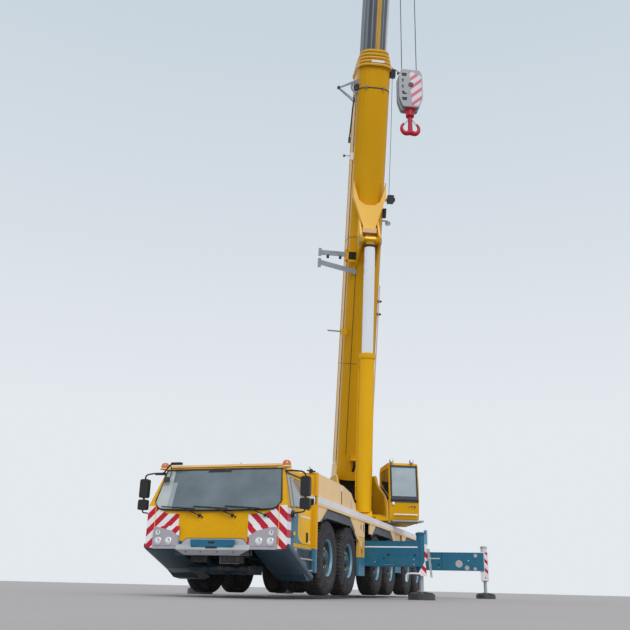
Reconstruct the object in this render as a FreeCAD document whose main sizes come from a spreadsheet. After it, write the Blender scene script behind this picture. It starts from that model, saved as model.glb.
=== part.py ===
"""Six-axle mobile crane with a telescopic boom, standing on its outriggers.

The frame: +X is the crane's left, -Y its front, +Z up. The floor is Z = 0 and the
origin is the middle of the carrier's outline on the floor. Sizes are millimetres.
"""
import FreeCAD, Part
import math
import os
import re
import Sketcher

Vector = FreeCAD.Vector
Placement = FreeCAD.Placement
Rotation = FreeCAD.Rotation

doc = FreeCAD.newDocument("mobile_crane")
sheet = doc.addObject("Spreadsheet::Sheet", "Sizes")

# Driving sizes: name, value, what it is
SIZES = [
    # Carrier
    ("carrier_long", 15550, "bumper to tail"),
    ("carrier_wide", 3000, "over the deck edge"),
    ("deck_top", 1985, "deck surface above the floor"),
    ("deck_thick", 60, "deck plate"),
    ("band_tall", 120, "edge band under the deck surface"),
    ("frame_half", 520, "half width of the chassis frame"),
    ("frame_web", 110, "thickness of a frame beam"),
    ("frame_low", 1000, "underside of the frame"),
    ("frame_high", 1520, "top of the frame"),
    # Running gear
    ("wheel_lift", 70, "tyres clear of the floor"),
    ("tyre_r", 746.5, "tyre outside radius"),
    ("tyre_wide", 445, "tyre section width"),
    ("tyre_bead_r", 356, "tyre inner radius, on the rim"),
    ("track", 2560, "between wheel centres"),
    ("axle_1_back", 2600, "bumper to the first axle"),
    ("gap_1_2", 1700, "axle spacing"),
    ("gap_2_3", 2900, "axle spacing"),
    ("gap_3_4", 1750, "axle spacing"),
    ("gap_4_5", 2600, "axle spacing"),
    ("gap_5_6", 1750, "axle spacing"),
    ("axle_r", 115, "axle tube radius"),
    ("stub_r", 85, "wheel stub radius"),
    ("kingpin_x", 905, "kingpin from the centre plane"),
    ("kingpin_r", 42, "kingpin radius"),
    ("run_gap", 1, "radial clearance of a running fit"),
    # Carrier cab
    ("cab_long", 1510, "cab front to back wall"),
    ("cab_low", 930, "underside of the cab"),
    ("cab_waist", 1640, "foot of the windscreen"),
    ("cab_top", 2450, "cab roof"),
    ("cab_half_low", 1430, "half width below the waist"),
    ("cab_half_top", 1235, "half width at the roof"),
    ("cab_wall", 55, "wall and door thickness"),
    ("screen_rake", 270, "set back of the screen's top"),
    ("glass_thick", 8, "pane thickness"),
    ("hinge_out", 22, "door hinge axis outside the cab wall"),
    ("hinge_r", 10, "door hinge pin radius"),
    ("door_gap", 8, "gap round a door"),
    # Outriggers
    ("outrigger_front_y", 5900, "bumper to the front beams"),
    ("outrigger_rear_y", 14600, "bumper to the rear beams"),
    ("beam_thick", 330, "beam, along the carrier"),
    ("beam_tall", 600, "beam height"),
    ("beam_front_low", 760, "underside of the front beams"),
    ("beam_rear_low", 900, "underside of the rear beams"),
    ("beam_long", 2700, "beam length"),
    ("beam_wall", 45, "housing wall"),
    ("beam_gap", 6, "beam in its housing"),
    ("seat_gap", 0.3, "a sliding piece over its seat"),
    ("jack_front_x", 2850, "front jacks from the centre plane"),
    ("jack_rear_x", 3580, "rear jacks from the centre plane"),
    ("jack_r", 105, "jack barrel radius"),
    ("jack_rod_r", 55, "jack rod radius"),
    ("pad_r", 330, "foot pad radius"),
    ("pad_thick", 130, "foot pad thickness"),
    # Superstructure
    ("slew_back", 10850, "bumper to the slewing centre"),
    ("slew_rest", 24, "slewing angle as parked, degrees"),
    ("ring_r", 1050, "slewing ring radius"),
    ("ring_tall", 130, "slewing ring height"),
    ("platform_low", 2150, "underside of the turntable"),
    ("platform_half", 660, "outer faces of the side plates"),
    ("side_plate", 60, "side plate thickness"),
    ("pivot_back", 1600, "boom foot pin behind the centre"),
    ("pivot_high", 3550, "boom foot pin above the floor"),
    ("pivot_pin_r", 90, "boom foot pin radius"),
    ("tail_back", 4550, "counterweight radius"),
    ("tail_half", 1430, "half width of the counterweight"),
    # Boom
    ("boom_lean", 17, "boom from upright, degrees"),
    ("boom_drop", 300, "boom axis below its foot pin"),
    ("boom_half_wide", 555, "base section half width"),
    ("boom_half_tall", 720, "base section half height"),
    ("boom_wall", 128, "nested section walls taken together"),
    ("base_long", 14950, "base section and collars"),
    ("collar_tall", 130, "one collar"),
    ("tip_long", 13600, "innermost section"),
    ("tip_out", 12000, "innermost section drawn out"),
    ("tip_gap", 8, "innermost section in the next one"),
    # Luffing cylinder
    ("foot_ahead", 1290, "cylinder foot pin ahead of the centre"),
    ("foot_high", 2270, "cylinder foot pin above the floor"),
    ("eye_along", 8270, "rod eye along the boom"),
    ("eye_drop", 600, "rod eye below the boom's belly"),
    ("barrel_r", 235, "cylinder barrel radius"),
    ("barrel_lip", 27, "barrel head outside the barrel"),
    ("barrel_long", 5010, "foot pin to barrel head"),
    ("rod_r", 180, "cylinder rod radius"),
    ("eye_r", 165, "rod eye radius"),
    ("rod_start", 3680, "foot pin to the rod's inner end"),
    ("lug_in", 275, "inner faces of the rod eye's lugs"),
    ("lug_thick", 60, "rod eye lug thickness"),
    # Hook
    ("sheave_r", 330, "head sheave radius"),
    ("head_ahead", 1050, "sheave axle ahead of the boom axis"),
    ("rope_fall", 15900, "sheave axle to the hook block's top"),
    ("rope_r", 13, "hoist rope radius"),
]


# Places worked out from the driving sizes
PLACES = [
    ("front_y", "-carrier_long / 2"),
    ("rear_y", "carrier_long / 2"),
    ("half_wide", "carrier_wide / 2"),
    ("axle_1_y", "front_y + axle_1_back"),
    ("axle_2_y", "axle_1_y + gap_1_2"),
    ("axle_3_y", "axle_2_y + gap_2_3"),
    ("axle_4_y", "axle_3_y + gap_3_4"),
    ("axle_5_y", "axle_4_y + gap_4_5"),
    ("axle_6_y", "axle_5_y + gap_5_6"),
    ("wheel_z", "wheel_lift + tyre_r"),
    ("wheel_x", "track / 2"),
    ("out_front_y", "front_y + outrigger_front_y"),
    ("out_rear_y", "front_y + outrigger_rear_y"),
    ("beam_off", "beam_thick / 2 + beam_wall / 2 + beam_gap"),
    ("slew_y", "front_y + slew_back"),
    ("cab_front_y", "front_y + 90"),
    ("cab_back_y", "cab_front_y + cab_long"),
    ("ring_low", "platform_low - ring_tall"),
]


def fill_sheet():
    """Write every driving size and every place into the sheet with its alias."""
    rows = [(name, str(value), note) for name, value, note in SIZES]
    rows += [(name, "=" + formula, "worked out") for name, formula in PLACES]
    for row, (name, content, note) in enumerate(rows, start=1):
        sheet.set(f"A{row}", name)
        sheet.set(f"B{row}", content)
        sheet.set(f"C{row}", note)
        sheet.setAlias(f"B{row}", name)
    doc.recompute()


fill_sheet()
NAMES = [row[0] for row in SIZES] + [row[0] for row in PLACES]
WORD = re.compile(r"\b(" + "|".join(NAMES) + r")\b")
NODES = []


def size(name):
    """Value of one driving size or place, in millimetres or degrees."""
    return float(sheet.get(name))


def tie(obj, prop, text):
    """Bind one property to an expression of driving sizes."""
    obj.setExpression(prop, WORD.sub(r"Sizes.\1", str(text)))


def put(obj, x=0, y=0, z=0):
    """Bind an object's position."""
    for axis, text in zip("xyz", (x, y, z)):
        tie(obj, f"Placement.Base.{axis}", text)
    return obj


def block(name, x, y, z):
    """A box between pairs of expressions along each axis."""
    box = doc.addObject("Part::Box", name)
    for prop, (low, high) in zip(("Length", "Width", "Height"), (x, y, z)):
        tie(box, prop, f"({high}) - ({low})")
    return put(box, x[0], y[0], z[0])


TURNS = {
    "x": Rotation(Vector(0, 1, 0), 90),
    "y": Rotation(Vector(1, 0, 0), -90),
    "z": Rotation(),
}


def rod(name, axis, radius, start, length):
    """A cylinder from a start point along +X, +Y or +Z."""
    cylinder = doc.addObject("Part::Cylinder", name)
    tie(cylinder, "Radius", radius)
    tie(cylinder, "Height", length)
    cylinder.Placement = Placement(Vector(), TURNS[axis])
    return put(cylinder, *start)


PLANES = {
    "side": (Rotation(Vector(1, 1, 1), 120), Vector(1, 0, 0), 0),
    "front": (Rotation(Vector(1, 0, 0), 90), Vector(0, 1, 0), 1),
    "top": (Rotation(), Vector(0, 0, 1), 2),
}


def outline(name, plane, points):
    """A closed sketch whose corners are bound to expressions."""
    sketch = doc.addObject("Sketcher::SketchObject", name)
    sketch.Placement = Placement(Vector(), PLANES[plane][0])
    values = [[evaluate(text) for text in point] for point in points]
    corners = [Vector(a, b, 0) for a, b in values]
    for start, end in zip(corners, corners[1:] + corners[:1]):
        sketch.addGeometry(Part.LineSegment(start, end), False)
    count = len(points)
    for index in range(count):
        sketch.addConstraint(Sketcher.Constraint("Coincident", index, 2, (index + 1) % count, 1))
    for index, (point, value) in enumerate(zip(points, values)):
        for kind, text, number in zip(("DistanceX", "DistanceY"), point, value):
            key = sketch.addConstraint(Sketcher.Constraint(kind, -1, 1, index, 1, number))
            tie(sketch, f"Constraints[{key}]", text)
    return sketch


def evaluate(text):
    """Number that an expression of the sheet's names stands for."""
    return float(sheet.evalExpression(str(text)))


def extrude(name, plane, points, low, high):
    """An outline drawn in one plane and extruded square to it."""
    sketch = outline(name + "_sketch", plane, points)
    solid = doc.addObject("Part::Extrusion", name)
    solid.Base = sketch
    solid.DirMode = "Custom"
    solid.Dir = PLANES[plane][1]
    solid.Solid = True
    tie(solid, "LengthFwd", f"({high}) - ({low})")
    tie(solid, "Placement.Base." + "xyz"[PLANES[plane][2]], low)
    return solid


def revolve(name, points):
    """A half section (radius, height) turned about +Z."""
    sketch = outline(name + "_sketch", "front", points)
    solid = doc.addObject("Part::Revolution", name)
    solid.Source = sketch
    solid.Axis = Vector(0, 0, 1)
    solid.Angle = 360
    solid.Solid = True
    return solid


def cut(name, base, *tools):
    """Base with every tool taken away."""
    tool = tools[0] if len(tools) == 1 else fuse(name + "_tools", *tools)
    result = doc.addObject("Part::Cut", name)
    result.Base = base
    result.Tool = tool
    return result


def fuse(name, *shapes):
    """Shapes joined into one solid."""
    result = doc.addObject("Part::MultiFuse", name)
    result.Shapes = list(shapes)
    result.Refine = True
    return result


def common(name, *shapes):
    """What all the shapes share."""
    result = doc.addObject("Part::MultiCommon", name)
    result.Shapes = list(shapes)
    return result


def group(name, *shapes):
    """Separate solids kept together."""
    result = doc.addObject("Part::Compound", name)
    result.Links = list(shapes)
    return result


def flip(name, shape):
    """Mirror image across the centre plane."""
    result = doc.addObject("Part::Mirroring", name)
    result.Source = shape
    result.Normal = Vector(1, 0, 0)
    return result


def pair(name, shape):
    """A shape and its mirror image as separate solids."""
    return group(name, shape, flip(name + "_right", shape))


def node(label, shape, frame=None):
    """Name a finished sub-part, and seat it in the frame of what carries it."""
    if frame is not None:
        shape = group(label + "_seat", shape)
        shape.Placement = frame
    shape.Label = label
    NODES.append(shape)
    return shape


AXLES = [
    # name, steered
    ("1", True),
    ("2", True),
    ("3", False),
    ("4", False),
    ("5", False),
    ("6", False),
]
SIDES = [
    # name, sign of X
    ("left", 1),
    ("right", -1),
]
X_AXIS = Vector(1, 0, 0)
Y_AXIS = Vector(0, 1, 0)
Z_AXIS = Vector(0, 0, 1)


def chassis_frame():
    """Two long beams, cross members, outrigger housings and the slewing pedestal."""
    beam = extrude("frame_beam", "side", [
        ("front_y + 150", "720"), ("front_y + 150", "cab_low"),
        ("cab_back_y + 30", "cab_low"), ("cab_back_y + 30", "frame_high"),
        ("rear_y - 60", "frame_high"), ("rear_y - 60", "frame_low"),
        ("cab_back_y + 300", "frame_low"), ("cab_back_y + 120", "720"),
    ], "frame_half - frame_web", "frame_half")
    solids = [beam, flip("frame_beam_right", beam)]
    inner = "frame_half - frame_web"
    for index, y in enumerate(("front_y + 300", "axle_2_y - 1000", "axle_2_y + 500", "axle_3_y + 800",
                               "axle_4_y + 700", "axle_5_y + 800", "rear_y - 200")):
        low, high = ("760", "900") if index == 0 else ("frame_low + 50", "frame_high - 40")
        solids.append(block(f"cross_member_{index}", (f"-({inner})", inner), (y, f"{y} + 120"), (low, high)))
    bracket_points = [
        ("frame_half", "1400"), ("frame_half", "deck_top - deck_thick"),
        ("half_wide - 80", "deck_top - deck_thick"), ("half_wide - 80", "deck_top - 180"),
        ("frame_half + 260", "1640"),
    ]
    for index, y in enumerate(("cab_back_y + 60", "(axle_1_y + axle_2_y) / 2", "axle_2_y + 850",
                               "(axle_3_y + axle_4_y) / 2", "(axle_5_y + axle_6_y) / 2")):
        bracket = extrude(f"deck_bracket_{index}", "front", bracket_points, f"{y} - 30", f"{y} + 30")
        solids += [bracket, flip(f"deck_bracket_right_{index}", bracket)]
    channels = []
    for end in ("front", "rear"):
        middle, low = f"out_{end}_y", f"beam_{end}_low"
        reach = "(beam_off + beam_thick / 2 + beam_gap + beam_wall)"
        solids.append(block(f"{end}_housing", ("-1190", "1190"), (f"{middle} - {reach}", f"{middle} + {reach}"),
                            (f"{low} - beam_gap - beam_wall", f"{low} + beam_tall + beam_gap + beam_wall")))
        for side in (-1, 1):
            y = f"{middle} + {side} * beam_off"
            channels.append(block(f"{end}_channel_{side + 1}", ("-1300", "1300"),
                                  (f"{y} - beam_thick / 2 - beam_gap", f"{y} + beam_thick / 2 + beam_gap"),
                                  (f"{low} - seat_gap", f"{low} + beam_tall + beam_gap")))
    solids.append(rod("slewing_pedestal", "z", "ring_r - 60", ("0", "slew_y", "frame_high - 300"),
                      "ring_low - frame_high + 300"))
    node("chassis_frame", cut("frame_cut", fuse("frame_solid", *solids), *channels))


def axle_beams():
    """Six axles: a tube with its bevel gear housing, struts to the frame, and forks or stubs."""
    beams = []
    for name, steered in AXLES:
        y = f"axle_{name}_y"
        solids = [
            rod(f"axle_housing_{name}", "x", "axle_r * 1.8", ("-190", y, "wheel_z"), "380"),
            block(f"axle_nose_{name}", ("-70", "70"), (f"{y} - 300", y), ("wheel_z - 80", "wheel_z + 80")),
        ]
        for side, sign in SIDES:
            x = f"{sign} * (frame_half - frame_web / 2)"
            solids.append(rod(f"strut_{name}_{side}", "z", "45", (x, y, "wheel_z"), "frame_low - wheel_z"))
        if steered:
            solids.append(rod(f"axle_tube_{name}", "x", "axle_r", ("-790", y, "wheel_z"), "1580"))
            for side, sign in SIDES:
                low, high = ("kingpin_x - 140", "kingpin_x + 60")
                if sign < 0:
                    low, high = ("-kingpin_x - 60", "-kingpin_x + 140")
                fork = block(f"fork_{name}_{side}", (low, high), (f"{y} - 90", f"{y} + 90"),
                             ("wheel_z - 250", "wheel_z + 250"))
                low, high = ("kingpin_x - 110", "kingpin_x + 70")
                if sign < 0:
                    low, high = ("-kingpin_x - 70", "-kingpin_x + 110")
                mouth = block(f"fork_mouth_{name}_{side}", (low, high), (f"{y} - 100", f"{y} + 100"),
                              ("wheel_z - 190", "wheel_z + 190"))
                solids.append(cut(f"fork_cut_{name}_{side}", fork, mouth))
                solids.append(rod(f"kingpin_{name}_{side}", "z", "kingpin_r",
                                  (f"{sign} * kingpin_x", y, "wheel_z - 250"), "500"))
        else:
            solids.append(rod(f"axle_tube_{name}", "x", "axle_r", ("-wheel_x + 130", y, "wheel_z"),
                              "2 * wheel_x - 260"))
            solids.append(rod(f"axle_stub_{name}", "x", "stub_r", ("-wheel_x - 120", y, "wheel_z"),
                              "2 * wheel_x + 240"))
        beams.append(fuse(f"axle_{name}", *solids))
    node("axle_beams", group("axle_group", *beams))


def knuckles():
    """Steering knuckles: a boss on the kingpin and the wheel stub."""
    for name, steered in AXLES:
        if not steered:
            continue
        for side, sign in SIDES:
            y = f"axle_{name}_y"
            boss = rod(f"boss_{name}_{side}", "z", "100", (f"{sign} * kingpin_x", y, "wheel_z - 184"), "368")
            start = "kingpin_x" if sign > 0 else "-wheel_x - 120"
            stub = rod(f"stub_{name}_{side}", "x", "stub_r", (start, y, "wheel_z"), "wheel_x + 120 - kingpin_x")
            bore = rod(f"bore_{name}_{side}", "z", "kingpin_r + run_gap",
                       (f"{sign} * kingpin_x", y, "wheel_z - 200"), "400")
            node(f"knuckle_{name}_{side}", cut(f"knuckle_cut_{name}_{side}", fuse(f"knuckle_solid_{name}_{side}", boss, stub), bore))


def wheels():
    """Twelve tyres and their rims, each turned from one half section."""
    tyre_points = [
        ("tyre_bead_r", "-tyre_wide * 0.38"), ("tyre_bead_r + 70", "-tyre_wide * 0.47"),
        ("tyre_r * 0.78", "-tyre_wide / 2"), ("tyre_r - 45", "-tyre_wide * 0.46"),
        ("tyre_r", "-tyre_wide * 0.38"), ("tyre_r", "tyre_wide * 0.38"),
        ("tyre_r - 45", "tyre_wide * 0.46"), ("tyre_r * 0.78", "tyre_wide / 2"),
        ("tyre_bead_r + 70", "tyre_wide * 0.47"), ("tyre_bead_r", "tyre_wide * 0.38"),
    ]
    rim_points = [
        ("stub_r + run_gap", "-110"), ("165", "-110"), ("165", "20"), ("tyre_bead_r - 26", "-10"),
        ("tyre_bead_r - 26", "-tyre_wide * 0.42"), ("tyre_bead_r", "-tyre_wide * 0.42"),
        ("tyre_bead_r", "tyre_wide * 0.42"), ("tyre_bead_r - 26", "tyre_wide * 0.42"),
        ("tyre_bead_r - 26", "30"), ("190", "60"), ("165", "150"), ("110", "200"), ("0", "200"),
        ("0", "125"), ("stub_r + run_gap", "125"),
    ]
    for name, _ in AXLES:
        for side, sign in SIDES:
            for piece, points in (("tyre", tyre_points), ("rim", rim_points)):
                solid = revolve(f"{piece}_turned_{name}_{side}", points)
                solid.Placement = Placement(Vector(), Rotation(Y_AXIS, 90 * sign))
                put(solid, f"{sign} * wheel_x", f"axle_{name}_y", "wheel_z")
                node(f"{piece}_{name}_{side}", solid)


def cab_solid(name, inset):
    """The cab's outline drawn in by an inset."""
    side = extrude(name + "_side", "side", [
        (f"cab_front_y + {inset}", f"cab_low + {inset}"), (f"cab_front_y + {inset}", "cab_waist"),
        (f"cab_front_y + {inset} + screen_rake", f"cab_top - 70 - {inset} / 2"),
        (f"cab_front_y + {inset} + screen_rake + 70", f"cab_top - {inset}"),
        (f"cab_back_y - {inset}", f"cab_top - {inset}"), (f"cab_back_y - {inset}", f"cab_low + {inset}"),
    ], "-cab_half_low", "cab_half_low")
    half = []
    for sign in (1, -1):
        row = [(f"{sign} * (cab_half_low - {inset})", "cab_low"), (f"{sign} * (cab_half_low - {inset})", "cab_waist"),
               (f"{sign} * (cab_half_top - {inset})", "cab_top - 90"),
               (f"{sign} * (cab_half_top - 90 - {inset})", "cab_top")]
        half += row if sign > 0 else row[::-1]
    front = extrude(name + "_front", "front", half, "cab_front_y - 10", "cab_back_y + 10")
    return common(name, side, front)


def screen_opening(name, inset, deep):
    """Windscreen outline, extruded through the cab's front."""
    return extrude(name, "front", [
        (f"-cab_half_low + 130 + {inset}", f"cab_waist + 40 + {inset}"),
        (f"cab_half_low - 130 - {inset}", f"cab_waist + 40 + {inset}"),
        (f"cab_half_top - 85 - {inset}", f"cab_top - 125 - {inset}"),
        (f"-cab_half_top + 85 + {inset}", f"cab_top - 125 - {inset}"),
    ], "cab_front_y - 50", deep)


def door_outline(name, inset, low, high):
    """Outline of a door opening, extruded along X."""
    return extrude(name, "side", [
        (f"cab_front_y + 330 + {inset}", f"cab_low + 70 + {inset}"),
        (f"cab_front_y + 330 + {inset}", "cab_waist"),
        (f"cab_front_y + 330 + screen_rake * 0.75 + {inset}", f"cab_top - 170 - {inset}"),
        (f"cab_back_y - 110 - {inset}", f"cab_top - 170 - {inset}"),
        (f"cab_back_y - 110 - {inset}", f"cab_low + 70 + {inset}"),
    ], low, high)


def door_window(name, low, high):
    """Outline of a door's window, extruded along X."""
    return extrude(name, "side", [
        ("cab_front_y + 430", "cab_waist + 20"), ("cab_front_y + 430 + screen_rake * 0.6", "cab_top - 260"),
        ("cab_back_y - 200", "cab_top - 260"), ("cab_back_y - 200", "cab_waist + 20"),
    ], low, high)


HINGES = (1130, 1480)


def hinge_point(sign):
    """Expressions for a door's hinge axis."""
    return f"{sign} * (cab_half_low + hinge_out)", "cab_front_y + 330 + door_gap / 2"


def hinge_block(name, sign, y, z):
    """A small plate from the cab's wall out to the hinge axis."""
    low, high = ("cab_half_low - 30", "cab_half_low + hinge_out")
    if sign < 0:
        low, high = ("-cab_half_low - hinge_out", "-cab_half_low + 30")
    return block(name, (low, high), y, z)


def carrier_cab():
    """Hollow cab with its windscreen and door openings, the doors and the windscreen pane."""
    shell = cut("cab_shell", cab_solid("cab_outer", "0"), cab_solid("cab_inner", "cab_wall"))
    openings = [screen_opening("screen_cut", "0", "cab_front_y + 480")]
    openings.append(door_outline("door_cut", "0", "-cab_half_low - 50", "cab_half_low + 50"))
    solids = [cut("cab_cut", shell, *openings)]
    for side, sign in SIDES:
        low, high = ("cab_half_top - 200", "cab_half_low + 20") if sign > 0 else ("-cab_half_low - 20", "-cab_half_top + 200")
        walls = cut(f"door_shell_{side}", cab_solid(f"door_outer_{side}", "0"), cab_solid(f"door_inner_{side}", "cab_wall"))
        panel = common(f"door_panel_{side}", walls, door_outline(f"door_edge_{side}", "door_gap", low, high))
        door = [cut(f"door_glazed_{side}", panel, door_window(f"door_light_{side}", low, high))]
        bores = []
        x, y = hinge_point(sign)
        for index, z in enumerate(HINGES):
            door.append(rod(f"knuckle_tube_{side}_{index}", "z", "2 * hinge_r", (x, y, str(z)), "60"))
            door.append(hinge_block(f"door_leaf_{side}_{index}", sign, (f"{y} + door_gap", f"{y} + 80"), (f"{z}", f"{z} + 60")))
            bores.append(rod(f"hinge_bore_{side}_{index}", "z", "hinge_r + seat_gap", (x, y, f"{z - 5}"), "70"))
            solids.append(hinge_block(f"pillar_leaf_{side}_{index}", sign, (f"{y} - 70", y), (f"{z - 40}", f"{z - 1}")))
            solids.append(rod(f"hinge_pin_{side}_{index}", "z", "hinge_r", (x, y, f"{z - 40}"), "100"))
        node(f"cab_door_{side}", cut(f"door_bored_{side}", fuse(f"door_solid_{side}", *door), *bores))
    node("carrier_cab", fuse("cab_with_hinges", *solids))
    pane = extrude("screen_pane", "side", [
        ("cab_front_y + 20", "cab_waist"), ("cab_front_y + 20 + glass_thick", "cab_waist"),
        ("cab_front_y + 20 + glass_thick + screen_rake", "cab_top - 70"),
        ("cab_front_y + 20 + screen_rake", "cab_top - 70"),
    ], "-cab_half_low", "cab_half_low")
    node("cab_glass", common("screen_trimmed", pane, screen_opening("screen_edge", "0", "cab_front_y + 480")))


def cab_interior():
    """Dashboard, two seats and the steering wheel, seen through the glass."""
    floor = "cab_low + cab_wall"
    solids = [extrude("dashboard", "side", [
        ("cab_front_y + 100", floor), ("cab_front_y + 100", "cab_waist - 60"),
        ("cab_front_y + 330", "cab_waist - 20"), ("cab_front_y + 430", "cab_waist - 180"),
        ("cab_front_y + 300", floor),
    ], "-cab_half_low + cab_wall + 80", "cab_half_low - cab_wall - 80")]
    for side, sign in SIDES:
        x = f"{sign} * 700"
        seat = fuse(f"seat_{side}",
                    block(f"seat_post_{side}", (f"{x} - 120", f"{x} + 120"), ("cab_front_y + 820", "cab_front_y + 1060"), (floor, "1300")),
                    block(f"seat_base_{side}", (f"{x} - 250", f"{x} + 250"), ("cab_front_y + 700", "cab_front_y + 1220"), ("1300", "1430")),
                    extrude(f"seat_back_{side}", "side", [
                        ("cab_front_y + 1160", "1430"), ("cab_front_y + 1290", "1430"),
                        ("cab_front_y + 1380", "2160"), ("cab_front_y + 1290", "2160"),
                    ], f"{x} - 240", f"{x} + 240"))
        solids.append(seat)
    wheel = doc.addObject("Part::Torus", "steering_ring")
    wheel.Radius1 = 220
    wheel.Radius2 = 16
    ring_turn = Rotation(X_AXIS, -65)
    column = doc.addObject("Part::Cylinder", "steering_column")
    column.Radius = 30
    column.Height = 260
    for piece, back in ((wheel, 0), (column, -250)):
        piece.Placement = Placement(Vector(), ring_turn)
        shift = ring_turn.multVec(Vector(0, 0, back))
        put(piece, "700", f"cab_front_y + 560 + {shift.y}", f"cab_waist + 20 + {shift.z}")
    hub = block("steering_spoke", ("480", "920"), ("cab_front_y + 548", "cab_front_y + 572"),
                ("cab_waist + 8", "cab_waist + 32"))
    node("cab_interior", group("interior_group", fuse("driver_desk", solids[0], wheel, column, hub), *solids[1:]))


LAMPS = [
    # x, z, radius
    (1165, 1125, 52), (1135, 975, 74), (915, 975, 74),
]


def front_bumper():
    """Bumper with its step, corner blocks and two lamp clusters."""
    bar = extrude("bumper_bar", "side", [
        ("front_y", "740"), ("front_y", "860"), ("front_y + 40", "cab_low"),
        ("cab_front_y + 60", "cab_low"), ("cab_front_y + 60", "750"), ("front_y + 60", "740"),
    ], "-740", "740")
    solids = [bar, block("bumper_box", ("150", "520"), ("front_y + 60", "front_y + 150"), ("600", "760"))]
    for side, sign in SIDES:
        low, high = ("720", "1250") if sign > 0 else ("-1250", "-720")
        solids.append(block(f"lamp_housing_{side}", (low, high), ("cab_front_y - 60", "cab_front_y"), ("910", "1240")))
        for index, (x, z, radius) in enumerate(LAMPS):
            solids.append(rod(f"lamp_{side}_{index}", "y", str(radius), (f"{sign * x}", "cab_front_y - 75", str(z)), "30"))
        step = block(f"bumper_end_{side}", (low, high), ("cab_front_y - 60", "cab_front_y + 60"), ("850", "cab_low"))
        solids.append(step)
    node("front_bumper", fuse("bumper_solid", *solids))


def side_panels():
    """Lower fairings under the cab and the panels between the wheels."""
    fairing = extrude("fairing", "side", [
        ("cab_front_y + 200", "cab_low"), ("cab_front_y + 240", "850"), ("cab_back_y - 240", "360"),
        ("cab_back_y - 50", "340"), ("cab_back_y - 50", "cab_low"),
    ], "frame_half + 380", "cab_half_low")
    wing = extrude("wing", "front", [
        ("cab_half_low - 80", "500"), ("half_wide - 20", "500"), ("half_wide - 20", "deck_top - 180"),
        ("half_wide - 60", "deck_top - 180"), ("half_wide - 80", "deck_top - 195"), ("cab_half_low - 80", "deck_top - 212"),
    ], "cab_back_y + 35", "cab_back_y + 130")
    left_panel = block("front_panel_left", ("half_wide - 80", "half_wide - 20"), ("out_front_y - 640", "out_front_y - 30"),
                       ("520", "deck_top - 180"))
    right_panel = block("front_panel_right", ("-half_wide + 20", "-half_wide + 80"), ("out_front_y + 35", "out_front_y + 460"),
                        ("520", "deck_top - 180"))
    middle_panel = block("middle_panel", ("ring_r - 50", "half_wide - 60"), ("axle_4_y + 830", "axle_5_y - 830"),
                         ("700", "deck_top - deck_thick"))
    tail_panel = block("tail_panel", ("frame_half", "half_wide - 60"),
                       ("out_rear_y + 440", "rear_y - 50"), ("900", "deck_top - deck_thick"))
    node("side_panels", group("panel_group", pair("fairings", fairing), pair("wings", wing), left_panel, right_panel,
                              pair("middle_panels", middle_panel), pair("tail_panels", tail_panel)))


def arch_skirts():
    """Rubber skirts over each pair of wheels."""
    skirts, tyre_top = [], "tyre_r * 2 + wheel_lift"
    for first, last in (("1", "2"), ("3", "4"), ("5", "6")):
        skirt = extrude(f"skirt_{first}", "side", [
            (f"axle_{first}_y - 90", "deck_top - 180"), (f"axle_{first}_y - 560", f"{tyre_top} - 30"),
            (f"axle_{first}_y - 520", f"{tyre_top} - 70"), (f"axle_{first}_y - 240", f"{tyre_top} + 45"),
            (f"axle_{last}_y + 240", f"{tyre_top} + 45"), (f"axle_{last}_y + 520", f"{tyre_top} - 70"),
            (f"axle_{last}_y + 560", f"{tyre_top} - 30"), (f"axle_{last}_y + 90", "deck_top - 180"),
        ], "half_wide - 45", "half_wide - 25")
        skirts.append(pair(f"skirts_{first}", skirt))
    node("arch_skirts", group("skirt_group", *skirts))


def deck():
    """Deck plate with its edge band, open along the middle where the boom lies."""
    plate = extrude("deck_plate", "top", [
        ("-half_wide", "cab_back_y + 30"), ("-frame_half - 180", "cab_back_y + 30"),
        ("-frame_half - 180", "slew_y - 1300"), ("frame_half + 180", "slew_y - 1300"),
        ("frame_half + 180", "cab_back_y + 30"), ("half_wide", "cab_back_y + 30"),
        ("half_wide", "rear_y"), ("-half_wide", "rear_y"),
    ], "deck_top - deck_thick", "deck_top")
    hole = rod("ring_hole", "z", "ring_r + 30", ("0", "slew_y", "deck_top - 200"), "300")
    band = block("edge_band", ("half_wide - 50", "half_wide"), ("cab_back_y + 30", "rear_y"), ("deck_top - 180", "deck_top"))
    tail_band = block("tail_band", ("-half_wide", "half_wide"), ("rear_y - 50", "rear_y"), ("deck_top - 180", "deck_top"))
    node("deck", cut("deck_cut", fuse("deck_solid", plate, band, flip("edge_band_right", band), tail_band), hole))


def engine():
    """The engine between the frame beams, and the covers on both sides of the boom's trough."""
    solids = [block("engine_block", ("-350", "350"), ("axle_1_y - 700", "axle_1_y + 650"), ("1060", "1560"))]
    for index, y in enumerate(("axle_1_y - 600", "axle_1_y + 450")):
        solids.append(block(f"engine_mount_{index}", ("-frame_half + frame_web", "frame_half - frame_web"), (y, f"{y} + 90"),
                            ("1180", "1240")))
    node("engine", fuse("engine_solid", *solids))
    cover = extrude("cover", "side", [
        ("cab_back_y + 80", "deck_top"), ("cab_back_y + 80", "deck_top + 470"), ("axle_2_y - 500", "deck_top + 460"),
        ("axle_2_y + 200", "deck_top + 380"), ("axle_2_y + 620", "deck_top + 150"), ("axle_2_y + 750", "deck_top"),
    ], "frame_half + 180", "half_wide - 20")
    node("engine_covers", pair("covers", cover))


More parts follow.
